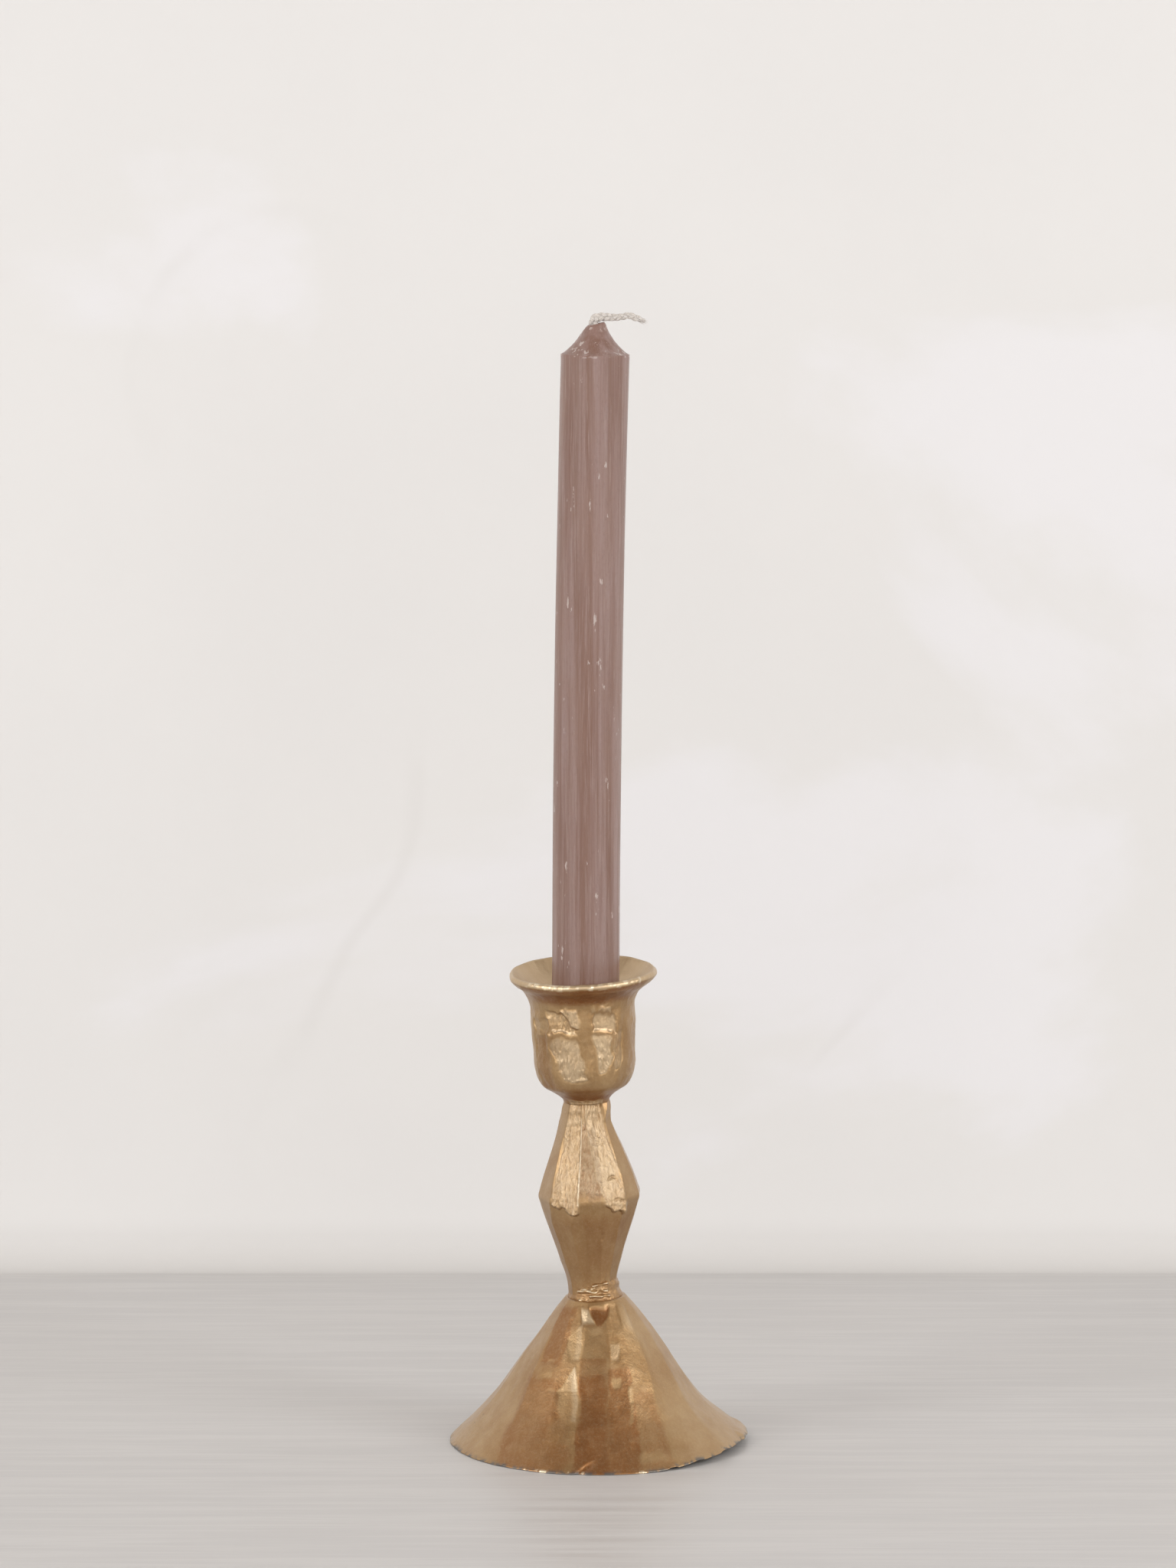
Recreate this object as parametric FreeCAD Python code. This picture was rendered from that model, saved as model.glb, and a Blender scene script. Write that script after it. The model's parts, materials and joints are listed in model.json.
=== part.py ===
import FreeCAD, Part
import math
import os

# A hammered metal candlestick that holds one straight dinner candle.
#
# From the table up: a hollow cone foot of thin hammered sheet, an eight-sided
# double-cone stem with a rough bead of braze round its bottom end, and a tulip
# cup with thumb-like scoops in its wall and a flared lip. One long screw runs
# from the floor of the candle socket down through cup, stem and foot, and a
# nut under the foot pulls the three together. The candle is a wax cylinder
# with a trumpet-shaped tip, and its cotton wick is folded over to one side.
#
# Millimetres. The origin is on the table at the middle of the foot, +Z is up.
# Stem and cup lean a little towards -X, as the hand-made stick does, and the
# candle stands a little loose in its socket, so it leans back towards +X.

# ---- foot: a cone of thin sheet, open underneath
FOOT_RIM_RADIUS = 47.6
FOOT_TOP_RADIUS = 9.8
FOOT_HEIGHT = 48.0
FOOT_WALL = 1.8
FOOT_SIDES = 24
SEAT_THICKNESS = 2.2  # the flat top of the cone, where the stem stands
# the cone's outline: share of its height, share of the way from top to rim
FOOT_OUTLINE = ((0.0, 1.0), (0.33, 0.62), (0.67, 0.32), (0.87, 0.14), (1.0, 0.0))

# ---- how stem and cup stand on the foot
SEAT_OFFSET = -0.7  # middle of the stem along X, at the top of the foot
STEM_LEAN = 2.17  # degrees, towards -X

# ---- stem: eight-sided, thin at both ends
STEM_LENGTH = 64.5
STEM_SIDES = 8
STEM_END_RADIUS = 8.2
STEM_NECK_RADIUS = 7.9
STEM_BELLY_RADIUS = 16.4
STEM_BELLY_HEIGHT = 33.8  # of the widest band's middle, above the stem's end
STEM_BELLY_BAND = 2.5
LOWER_NECK = 7.5  # from the end to where the stem begins to swell
UPPER_NECK = 5.5

# ---- braze bead round the bottom of the stem
BEAD_BASE_RADIUS = 9.0
BEAD_TOP_RADIUS = 8.6
BEAD_HEIGHT = 3.2

# ---- candle
CANDLE_RADIUS = 11.0
CANDLE_LENGTH = 239.0
CANDLE_LEAN = 0.87  # degrees, towards +X
TIP_LENGTH = 9.8
TIP_RADIUS = 2.8  # of the small ring of wax round the wick
TIP_HOLLOW = 0.8  # how far the tip's outline curves inside a straight cone
CANDLE_BOTTOM_CHAMFER = 0.5

# ---- wick
WICK_RADIUS = 1.2
WICK_FOLD_HEIGHT = 2.9  # of the fold's corner, above the top of the wax
WICK_FOLD_RADIUS = 2.4
# after the fold: distance to the side, and height above the fold's corner
WICK_ROUTE = ((4.9, -0.8), (9.0, 0.1), (12.6, -1.1), (15.6, -1.65))

# ---- cup and its candle socket
SOCKET_CLEARANCE = 0.9  # all round the candle
SOCKET_DEPTH = 22.5
SOCKET_GAP = 0.1  # under the lowest point of the leaning candle
CUP_FLOOR = 11.9  # from the stem to the socket's floor
CUP_WAIST_RADIUS = 16.8  # of the tulip, just under the lip
CUP_WAIST_HEIGHT = 31.0
CUP_SHOULDER_RADIUS = 15.4  # where the round bottom meets the wall
CUP_SHOULDER_HEIGHT = 8.6
LIP_RADIUS = 23.7
LIP_THICKNESS = 2.2
CUP_HEIGHT = 43.8
SCOOPS = 8
SCOOP_DEPTH = 0.9
SCOOP_LENGTH = 19.0
SCOOP_MIDDLE = 20.0  # above the cup's bottom
CUP_WALL_BULGE = 0.5  # how far the wall between shoulder and waist is rounded out

# ---- the screw that ties cup, stem and foot together, an M6 with a slot
SCREW_RADIUS = 3.0
SCREW_HOLE_CLEARANCE = 0.2
SCREW_TAIL = 6.8  # thread that stands out below the nut
SCREW_TIP_CHAMFER = 0.6
HEAD_RADIUS = 5.0
HEAD_HEIGHT = 3.9
HEAD_SLOT_WIDTH = 1.6
HEAD_SLOT_DEPTH = 2.0
HEAD_CLEARANCE = 0.5  # all round the head
HEAD_SINK = 0.3  # from the socket's floor down to the head
WASHER_RADIUS = 6.0
WASHER_THICKNESS = 1.6
WASHER_HOLE_CLEARANCE = 0.2
SPRING_WASHER_RADIUS = 5.5
SPRING_WASHER_THICKNESS = 1.6
SPRING_WASHER_GAP = 1.2  # the split
NUT_ACROSS_FLATS = 10.0
NUT_HEIGHT = 5.0
NUT_CHAMFER = 0.5

UP = FreeCAD.Vector(0, 0, 1)
BEYOND = 1.0  # how far a cutting tool reaches past what it cuts
FAR = 200.0  # half the size of a block that cuts everything past a plane
CORNER_FIRST = 0.0  # a polygon with a corner on +X
FLAT_FIRST = 0.5  # a polygon with a flat side facing +X

socket_radius = CANDLE_RADIUS + SOCKET_CLEARANCE
screw_hole_radius = SCREW_RADIUS + SCREW_HOLE_CLEARANCE
cup_floor_height = STEM_LENGTH + CUP_FLOOR
head_seat_height = cup_floor_height - HEAD_SINK - HEAD_HEIGHT

# the stem's own frame: its origin is on the foot's flat top, and Z is the stem's axis
STEM_FRAME = FreeCAD.Placement(
    FreeCAD.Vector(SEAT_OFFSET, 0, FOOT_HEIGHT),
    FreeCAD.Rotation(FreeCAD.Vector(0, 1, 0), -STEM_LEAN),
)


def candle_frame():
    """The candle's own frame: origin at the middle of its bottom, Z along the candle.

    The candle crosses the cup's axis halfway up the socket, and its lowest
    point is SOCKET_GAP above the socket's floor.
    """
    lean_in_socket = math.radians(STEM_LEAN + CANDLE_LEAN)
    half_depth = SOCKET_DEPTH / 2
    drop = half_depth - SOCKET_GAP - CANDLE_RADIUS * math.sin(lean_in_socket)
    crossing = STEM_FRAME.multVec(FreeCAD.Vector(0, 0, cup_floor_height + half_depth))
    turn = FreeCAD.Rotation(FreeCAD.Vector(0, 1, 0), CANDLE_LEAN)
    bottom = crossing - turn.multVec(UP) * (drop / math.cos(lean_in_socket))
    return FreeCAD.Placement(bottom, turn)


def placed(shape, frame):
    """A copy of the shape, moved from the given frame into the part's frame."""
    moved = shape.copy()
    moved.Placement = frame.multiply(moved.Placement)
    return moved


def ring(radius, height, sides, turn):
    """The corners of a regular polygon round the Z axis; turn is in sides, counted from +X."""
    corners = []
    for side in range(sides):
        angle = 2 * math.pi * (side + turn) / sides
        corners.append(FreeCAD.Vector(radius * math.cos(angle), radius * math.sin(angle), height))
    return corners


def faceted_solid(outline, sides, turn):
    """A many-sided solid with flat faces, from (corner radius, height) pairs, bottom first."""
    rings = [ring(radius, height, sides, turn) for radius, height in outline]
    faces = []
    for lower, upper in zip(rings, rings[1:]):
        for side in range(sides):
            after = (side + 1) % sides
            corners = [lower[side], lower[after], upper[after], upper[side], lower[side]]
            faces.append(Part.Face(Part.makePolygon(corners)))
    for end in (rings[0], rings[-1]):
        faces.append(Part.Face(Part.makePolygon(end + end[:1])))
    solid = Part.Solid(Part.Shell(faces))
    if solid.Volume < 0:
        solid.reverse()
    return solid


def turned_solid(edges):
    """The solid of revolution round Z of a closed outline in the XZ plane."""
    return Part.Face(Part.Wire(edges)).revolve(FreeCAD.Vector(), UP, 360)


def point(radius, height):
    """A point of an outline in the XZ plane."""
    return FreeCAD.Vector(radius, 0, height)


def line(start, end):
    return Part.LineSegment(start, end).toShape()


def arc(start, middle, end):
    return Part.Arc(start, middle, end).toShape()


def cylinder(radius, bottom, top):
    return Part.makeCylinder(radius, top - bottom, FreeCAD.Vector(0, 0, bottom))


def everything_above(height):
    """A block that fills all the space above a height."""
    return Part.makeBox(2 * FAR, 2 * FAR, FAR, FreeCAD.Vector(-FAR, -FAR, height))


def foot():
    """The cone: an outer and an inner pyramid, cut square to the leaning stem at the top."""
    spread = FOOT_RIM_RADIUS - FOOT_TOP_RADIUS
    wall_across = FOOT_WALL * math.hypot(1, spread / FOOT_HEIGHT)
    outer = []
    inner = []
    for height_share, radius_share in FOOT_OUTLINE:
        height = height_share * FOOT_HEIGHT
        radius = FOOT_TOP_RADIUS + radius_share * spread
        outer.append((radius, height))
        inner.append((radius - wall_across, height))
    outer.append((outer[-1][0], FOOT_HEIGHT + BEYOND))
    inner.insert(0, (inner[0][0], -BEYOND))
    above_seat = placed(everything_above(0), STEM_FRAME)
    above_ceiling = placed(everything_above(-SEAT_THICKNESS), STEM_FRAME)
    hollow = faceted_solid(inner, FOOT_SIDES, CORNER_FIRST).cut(above_ceiling)
    hole = placed(cylinder(screw_hole_radius, -SEAT_THICKNESS - BEYOND, BEYOND), STEM_FRAME)
    return faceted_solid(outer, FOOT_SIDES, CORNER_FIRST).cut([above_seat, hollow, hole])


def stem_core():
    """The stem without its hole, in the stem's frame."""
    half_band = STEM_BELLY_BAND / 2
    outline = [
        (STEM_END_RADIUS, 0),
        (STEM_NECK_RADIUS, LOWER_NECK),
        (STEM_BELLY_RADIUS, STEM_BELLY_HEIGHT - half_band),
        (STEM_BELLY_RADIUS, STEM_BELLY_HEIGHT + half_band),
        (STEM_NECK_RADIUS, STEM_LENGTH - UPPER_NECK),
        (STEM_END_RADIUS, STEM_LENGTH),
    ]
    return faceted_solid(outline, STEM_SIDES, FLAT_FIRST)


def stem():
    hole = cylinder(screw_hole_radius, -BEYOND, STEM_LENGTH + BEYOND)
    return placed(stem_core().cut(hole), STEM_FRAME)


def foot_bead():
    """A ring of braze with a rounded outside, which the stem's end fills."""
    inside = STEM_NECK_RADIUS / 2
    base = point(BEAD_BASE_RADIUS, 0)
    bulge = point(BEAD_BASE_RADIUS, BEAD_HEIGHT / 2)
    top = point(BEAD_TOP_RADIUS, BEAD_HEIGHT)
    outline = [
        line(point(inside, 0), base),
        arc(base, bulge, top),
        line(top, point(inside, BEAD_HEIGHT)),
        line(point(inside, BEAD_HEIGHT), point(inside, 0)),
    ]
    return placed(turned_solid(outline).cut(stem_core()), STEM_FRAME)


def cup_scoops():
    """Shallow hollows round the cup's wall, each cut by one large ball, all below the lip."""
    ball_radius = (SCOOP_LENGTH / 2) ** 2 / (2 * SCOOP_DEPTH)
    wall_radius = (CUP_WAIST_RADIUS + CUP_SHOULDER_RADIUS) / 2 + CUP_WALL_BULGE
    reach = wall_radius - SCOOP_DEPTH + ball_radius
    flare = everything_above(CUP_WAIST_HEIGHT)
    balls = []
    for number in range(SCOOPS):
        angle = 2 * math.pi * (number + 0.5) / SCOOPS
        middle = FreeCAD.Vector(reach * math.cos(angle), reach * math.sin(angle), SCOOP_MIDDLE)
        balls.append(Part.makeSphere(ball_radius, middle).cut(flare))
    return balls


def cup():
    """The tulip: a turned body with a candle socket, scooped round its wall."""
    mouth = CUP_FLOOR + SOCKET_DEPTH
    bottom = point(STEM_END_RADIUS, 0)
    shoulder = point(CUP_SHOULDER_RADIUS, CUP_SHOULDER_HEIGHT)
    waist = point(CUP_WAIST_RADIUS, CUP_WAIST_HEIGHT)
    lip_under = point(LIP_RADIUS, CUP_HEIGHT - LIP_THICKNESS)
    lip_edge = point(LIP_RADIUS, CUP_HEIGHT - LIP_THICKNESS / 2)
    lip_top = point(LIP_RADIUS - LIP_THICKNESS / 2, CUP_HEIGHT)
    bottom_bulge = (bottom + shoulder) * 0.5 + point(1.0, -0.6)
    wall_bulge = (shoulder + waist) * 0.5 + point(CUP_WALL_BULGE, 0)
    flare_hollow = (waist + lip_under) * 0.5 + point(-1.5, 1.0)
    dish_hollow = (point(socket_radius, mouth) + lip_top) * 0.5 + point(1.0, -1.2)
    outline = [
        line(point(0, 0), bottom),
        arc(bottom, bottom_bulge, shoulder),
        arc(shoulder, wall_bulge, waist),
        arc(waist, flare_hollow, lip_under),
        line(lip_under, lip_edge),
        line(lip_edge, lip_top),
        arc(lip_top, dish_hollow, point(socket_radius, mouth)),
        line(point(socket_radius, mouth), point(socket_radius, CUP_FLOOR)),
        line(point(socket_radius, CUP_FLOOR), point(0, CUP_FLOOR)),
        line(point(0, CUP_FLOOR), point(0, 0)),
    ]
    head_seat = CUP_FLOOR - HEAD_SINK - HEAD_HEIGHT
    head_room = cylinder(HEAD_RADIUS + HEAD_CLEARANCE, head_seat, CUP_FLOOR + BEYOND)
    hole = cylinder(screw_hole_radius, -BEYOND, head_seat + BEYOND)
    body = turned_solid(outline).cut([head_room, hole]).cut(cup_scoops())
    on_stem = FreeCAD.Placement(FreeCAD.Vector(0, 0, STEM_LENGTH), FreeCAD.Rotation())
    return placed(body, STEM_FRAME.multiply(on_stem))


washer_top = -SEAT_THICKNESS
spring_washer_top = washer_top - WASHER_THICKNESS
nut_top = spring_washer_top - SPRING_WASHER_THICKNESS
nut_bottom = nut_top - NUT_HEIGHT
screw_end = nut_bottom - SCREW_TAIL


def tie_screw():
    """Cheese-head screw, from the floor of the socket down to below the foot's nut."""
    head_top = head_seat_height + HEAD_HEIGHT
    slim = SCREW_RADIUS - SCREW_TIP_CHAMFER
    corners = [
        point(0, screw_end),
        point(slim, screw_end),
        point(SCREW_RADIUS, screw_end + SCREW_TIP_CHAMFER),
        point(SCREW_RADIUS, head_seat_height),
        point(HEAD_RADIUS, head_seat_height),
        point(HEAD_RADIUS, head_top),
        point(0, head_top),
    ]
    outline = [line(start, end) for start, end in zip(corners, corners[1:] + corners[:1])]
    slot_corner = FreeCAD.Vector(-HEAD_RADIUS - BEYOND, -HEAD_SLOT_WIDTH / 2, head_top - HEAD_SLOT_DEPTH)
    slot = Part.makeBox(2 * (HEAD_RADIUS + BEYOND), HEAD_SLOT_WIDTH, HEAD_SLOT_DEPTH + BEYOND, slot_corner)
    return placed(turned_solid(outline).cut(slot), STEM_FRAME)


def foot_washer():
    disc = cylinder(WASHER_RADIUS, spring_washer_top, washer_top)
    hole_radius = SCREW_RADIUS + WASHER_HOLE_CLEARANCE
    hole = cylinder(hole_radius, spring_washer_top - BEYOND, washer_top + BEYOND)
    return placed(disc.cut(hole), STEM_FRAME)


def spring_washer():
    """A split ring, squeezed flat between the washer and the nut."""
    disc = cylinder(SPRING_WASHER_RADIUS, nut_top, spring_washer_top)
    hole_radius = SCREW_RADIUS + WASHER_HOLE_CLEARANCE
    hole = cylinder(hole_radius, nut_top - BEYOND, spring_washer_top + BEYOND)
    split_corner = FreeCAD.Vector(0, -SPRING_WASHER_GAP / 2, nut_top - BEYOND)
    split_height = SPRING_WASHER_THICKNESS + 2 * BEYOND
    split = Part.makeBox(SPRING_WASHER_RADIUS + BEYOND, SPRING_WASHER_GAP, split_height, split_corner)
    return placed(disc.cut([hole, split]), STEM_FRAME)


def foot_nut():
    """A hexagon nut; its bore is the screw's own radius, because threads are left out."""
    corner_radius = NUT_ACROSS_FLATS / 2 / math.cos(math.pi / 6)
    blank = faceted_solid([(corner_radius, nut_bottom), (corner_radius, nut_top)], 6, CORNER_FIRST)
    turned = cylinder(corner_radius, nut_bottom, nut_top)
    edges = [edge for edge in turned.Edges if isinstance(edge.Curve, Part.Circle)]
    rounded = turned.makeChamfer(NUT_CHAMFER, edges)
    bore = cylinder(SCREW_RADIUS, nut_bottom - BEYOND, nut_top + BEYOND)
    return placed(blank.common(rounded).cut(bore), STEM_FRAME)


def candle_wax():
    """The candle's wax, with a hole down its middle that the wick fills."""
    shoulder = point(CANDLE_RADIUS, CANDLE_LENGTH - TIP_LENGTH)
    top = point(TIP_RADIUS, CANDLE_LENGTH)
    inward = point(shoulder.z - top.z, top.x - shoulder.x).normalize()
    hollow = (shoulder + top) * 0.5 + inward * TIP_HOLLOW
    low_corner = point(CANDLE_RADIUS - CANDLE_BOTTOM_CHAMFER, 0)
    chamfer_top = point(CANDLE_RADIUS, CANDLE_BOTTOM_CHAMFER)
    outline = [
        line(point(WICK_RADIUS, 0), low_corner),
        line(low_corner, chamfer_top),
        line(chamfer_top, shoulder),
        arc(shoulder, hollow, top),
        line(top, point(WICK_RADIUS, CANDLE_LENGTH)),
        line(point(WICK_RADIUS, CANDLE_LENGTH), point(WICK_RADIUS, 0)),
    ]
    return placed(turned_solid(outline), candle_frame())


def bent_path(points, radii):
    """Straight runs joined by tangent arcs: one arc of the given radius at each inner point."""
    edges = []
    start = points[0]
    for before, corner, after, radius in zip(points, points[1:], points[2:], radii):
        incoming = (corner - before).normalize()
        outgoing = (after - corner).normalize()
        half_turn = incoming.getAngle(outgoing) / 2
        setback = radius * math.tan(half_turn)
        inside = (outgoing - incoming).normalize()
        middle = corner + inside * (radius / math.cos(half_turn) - radius)
        arc_start = corner - incoming * setback
        arc_end = corner + outgoing * setback
        edges.append(line(start, arc_start))
        edges.append(arc(arc_start, middle, arc_end))
        start = arc_end
    edges.append(line(start, points[-1]))
    return Part.Wire(edges)


def wick():
    """The wick's whole length: up through the wax, over the fold and out to the side."""
    corner_height = CANDLE_LENGTH + WICK_FOLD_HEIGHT
    points = [point(0, 0), point(0, corner_height)]
    for aside, lift in WICK_ROUTE:
        points.append(point(aside, corner_height + lift))
    radii = [WICK_FOLD_RADIUS]
    for before, corner, after in zip(points[1:], points[2:], points[3:]):
        shorter = min((corner - before).Length, (after - corner).Length)
        half_turn = (corner - before).getAngle(after - corner) / 2
        radii.append(0.45 * shorter / math.tan(half_turn))
    print("wick bend radii", [round(radius, 2) for radius in radii])
    path = bent_path(points, radii)
    section = Part.Wire(Part.Circle(FreeCAD.Vector(), UP, WICK_RADIUS).toShape())
    tube = path.makePipeShell([section], True, False)
    expected = math.pi * WICK_RADIUS ** 2 * path.Length
    print("wick length %.2f, volume over section times length %.5f" % (path.Length, tube.Volume / expected))
    return placed(tube, candle_frame())


PIECES = {
    "foot": foot,
    "stem": stem,
    "foot_bead": foot_bead,
    "cup": cup,
    "tie_screw": tie_screw,
    "foot_washer": foot_washer,
    "spring_washer": spring_washer,
    "foot_nut": foot_nut,
    "candle_wax": candle_wax,
    "wick": wick,
}

os.makedirs("parts", exist_ok=True)
for name, make in PIECES.items():
    shape = make()
    solids = shape.Solids
    print("%-14s solids %d valid %s volume %.1f" % (name, len(solids), shape.isValid(), shape.Volume))
    solids[0].exportStep(os.path.join("parts", name + ".step"))

axis = candle_frame().Rotation.multVec(UP)
print("candle axis %.6f %.6f %.6f" % (axis.x, axis.y, axis.z))
print("candle bottom", candle_frame().Base)
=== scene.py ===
# %% [markdown]
# # A hammered gold candlestick with a dinner candle
#
# This lesson dresses a small CAD model. The CAD model already says how large
# every piece is, where it stands and how the candle slides out of its socket.
# What it lacks is the hand of the maker: hammer marks, chisel cuts, a lip that
# isn't quite round, streaky wax, a braided wick. Each is added here as a surface
# worked out with numpy, and then painted with a procedural material.

# %% Load the frame
import json
import math

import bmesh
import bpy
import numpy as np
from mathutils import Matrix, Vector


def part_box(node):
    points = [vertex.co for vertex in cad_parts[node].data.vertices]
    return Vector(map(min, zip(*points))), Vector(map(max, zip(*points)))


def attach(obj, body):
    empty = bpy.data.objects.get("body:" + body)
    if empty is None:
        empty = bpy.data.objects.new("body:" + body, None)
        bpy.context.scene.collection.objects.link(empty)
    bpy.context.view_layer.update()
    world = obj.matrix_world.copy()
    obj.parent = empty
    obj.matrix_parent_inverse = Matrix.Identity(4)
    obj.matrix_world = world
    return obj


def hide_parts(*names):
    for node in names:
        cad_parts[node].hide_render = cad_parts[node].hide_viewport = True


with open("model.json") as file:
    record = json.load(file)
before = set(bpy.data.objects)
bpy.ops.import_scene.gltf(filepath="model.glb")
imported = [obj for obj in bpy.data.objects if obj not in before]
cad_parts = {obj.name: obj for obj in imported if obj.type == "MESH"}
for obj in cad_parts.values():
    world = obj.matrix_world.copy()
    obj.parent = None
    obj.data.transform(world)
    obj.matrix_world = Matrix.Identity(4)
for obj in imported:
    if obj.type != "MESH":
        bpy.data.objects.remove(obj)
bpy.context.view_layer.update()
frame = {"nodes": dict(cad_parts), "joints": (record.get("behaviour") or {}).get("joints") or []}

nodes = frame["nodes"]

# %% [markdown]
# ## Frames of reference
#
# The foot stands upright, but stem and cup lean one way and the candle, loose
# in its socket, leans the other. A turned piece is easiest to shape round its
# own axis, so each gets a small frame: an origin and three directions, read
# from the CAD meshes so that nothing here can drift away from them.

# %% A frame for each leaning piece
MM = 0.001


def cad_points(node):
    """The vertices of a CAD node, one row each, in millimetres."""
    mesh = nodes[node].data
    flat = np.zeros(len(mesh.vertices) * 3, np.float32)
    mesh.vertices.foreach_get("co", flat)
    return flat.reshape(-1, 3).astype(float) / MM


def end_of(node, axis, at_top=False):
    """The middle of a regular piece's end face: of the points that lie furthest along its axis."""
    points = cad_points(node)
    height = points @ axis
    edge = height.max() if at_top else height.min()
    face = points[abs(height - edge) < 0.05]
    return (face.max(axis=0) + face.min(axis=0)) / 2


class Axes:
    """A piece's own frame: Z is its axis, and Y stays level with the world's Y."""

    def __init__(self, origin, z):
        self.origin = np.array(origin, float)
        self.z = np.array(z, float) / np.linalg.norm(z)
        self.x = np.cross((0.0, 1.0, 0.0), self.z)
        self.x /= np.linalg.norm(self.x)
        self.y = np.cross(self.z, self.x)

    def place(self, local):
        """Local points moved into the part's frame, still in millimetres."""
        return self.origin + local[..., :1] * self.x + local[..., 1:2] * self.y + local[..., 2:] * self.z


stem_spread = cad_points("stem") - cad_points("stem").mean(axis=0)
rough_axis = np.linalg.svd(stem_spread, full_matrices=False)[2][0]
rough_axis *= np.sign(rough_axis[2])
stem_axis = end_of("stem", rough_axis, True) - end_of("stem", rough_axis)
candle_axis = np.array(frame["joints"][0]["axis"])

upright = Axes((0, 0, 0), (0, 0, 1))
on_foot = Axes(end_of("stem", rough_axis), stem_axis)
in_socket = Axes(end_of("candle_wax", candle_axis), candle_axis)
stem_length = np.linalg.norm(stem_axis)
for label, axes in (("stem", on_foot), ("candle", in_socket)):
    print(label, "stands at", axes.origin.round(2), "and leans %.2f" % math.degrees(math.asin(axes.z[0])))

# %% [markdown]
# ## A grid becomes a mesh
#
# Every piece below is a grid of points: rows run along an outline, columns run
# round the axis. A ring-shaped piece, such as a cup with a hole in its floor,
# closes on itself in both directions, so it has no seam and no pole. A tube
# closes only round its section; its end rows shrink to one point, and merging
# those points closes the ends. `foreach_set` fills a mesh from whole arrays.

# %% From grids to an object
def quads_of(rows, columns, ring):
    """Corner numbers of a grid's quads; columns always close, rows close when it is a ring."""
    number = np.arange(rows * columns).reshape(rows, columns)
    number = np.concatenate([number, number[:, :1]], axis=1)
    if ring:
        number = np.concatenate([number, number[:1]], axis=0)
    corners = (number[:-1, :-1], number[:-1, 1:], number[1:, 1:], number[1:, :-1])
    return np.stack(corners, axis=-1).reshape(-1, 4)


def signed_volume(points, quads):
    """Volume by the divergence theorem: each quad's fan of two triangles, dotted with its corner."""
    a, b, c, d = (points[quads[:, k]] for k in range(4))
    return (np.einsum("ij,ij->i", a, np.cross(b, c)) + np.einsum("ij,ij->i", a, np.cross(c, d))).sum() / 6


def add_object(name, data):
    """A new object at the origin of the scene."""
    made = bpy.data.objects.new(name, data)
    bpy.context.scene.collection.objects.link(made)
    return made


def build(name, grids, ring=True, **marks):
    """One object from grids of points, in millimetres in the part's frame.

    A mark is a value for each point of a single grid's first rows, and zero in
    the rows it doesn't reach; the materials read it as an attribute.
    """
    all_points, all_quads, start = [], [], 0
    for grid in grids:
        points = grid.reshape(-1, 3) * MM
        quads = quads_of(grid.shape[0], grid.shape[1], ring)
        if signed_volume(points - points.mean(axis=0), quads) < 0:
            quads = quads[:, ::-1]
        all_points.append(points)
        all_quads.append(quads + start)
        start += len(points)
    points, quads = np.concatenate(all_points), np.concatenate(all_quads)
    mesh = bpy.data.meshes.new(name)
    mesh.vertices.add(len(points))
    mesh.vertices.foreach_set("co", points.astype(np.float32).ravel())
    mesh.loops.add(quads.size)
    mesh.loops.foreach_set("vertex_index", quads.astype(np.int32).ravel())
    mesh.polygons.add(len(quads))
    mesh.polygons.foreach_set("loop_start", np.arange(0, quads.size, 4, dtype=np.int32))
    mesh.update(calc_edges=True)
    for mark, values in marks.items():
        spread = np.zeros(grids[0].shape[:2], np.float32)
        spread[:len(np.atleast_2d(values))] = values
        mesh.attributes.new(mark, "FLOAT", "POINT").data.foreach_set("value", spread.ravel())
    if not ring:
        merged = bmesh.new()
        merged.from_mesh(mesh)
        bmesh.ops.remove_doubles(merged, verts=merged.verts, dist=1e-7)
        merged.to_mesh(mesh)
        merged.free()
    mesh.polygons.foreach_set("use_smooth", np.ones(len(mesh.polygons), bool))
    print(name, "has", sum(len(p.vertices) - 2 for p in mesh.polygons), "triangles")
    return add_object(name, mesh)


# %% [markdown]
# ## The maker's strokes
#
# Three strokes make nearly everything that is seen on the metal:
#
# - a ring of **chords** turns a round section into flat facets whose corners
#   may wander as they climb, as a hammer leaves them,
# - a **panel** is a four-sided patch, pressed in or out, that paints light and shade,
# - **noise** is the small unevenness under everything.
#
# Brushes would do the same by eye; formulas can be read, repeated and corrected
# one number at a time. Angles count from the front, which is -Y, towards +X.

# %% Strokes as functions of angle and height
def smooth_step(low, high, value):
    """0 below low, 1 above high, and an S-curve between: 3t^2 - 2t^3."""
    t = np.clip((value - low) / (high - low), 0, 1)
    return t * t * (3 - 2 * t)


def outline(points, height):
    """A radius for each height, on a smooth curve through a few (radius, height) points.

    Cubic Hermite spans whose slopes are the mean of the two chords that meet at
    each point, or flat where the chords turn back.
    """
    radius, z = np.array(points, float).T
    chord = np.diff(radius) / np.diff(z)
    slope = np.concatenate([chord[:1], (chord[1:] + chord[:-1]) / 2, chord[-1:]])
    turning = np.concatenate([[False], chord[1:] * chord[:-1] <= 0, [False]])
    slope[turning] = 0
    span = np.clip(np.searchsorted(z, height, side="right") - 1, 0, len(z) - 2)
    width = np.diff(z)[span]
    t = np.clip((height - z[span]) / width, 0, 1)
    ease = t * t * (3 - 2 * t)
    start_pull = t * (1 - t) ** 2 * slope[span] * width
    end_pull = t * t * (t - 1) * slope[span + 1] * width
    return radius[span] * (1 - ease) + radius[span + 1] * ease + start_pull + end_pull


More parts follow.
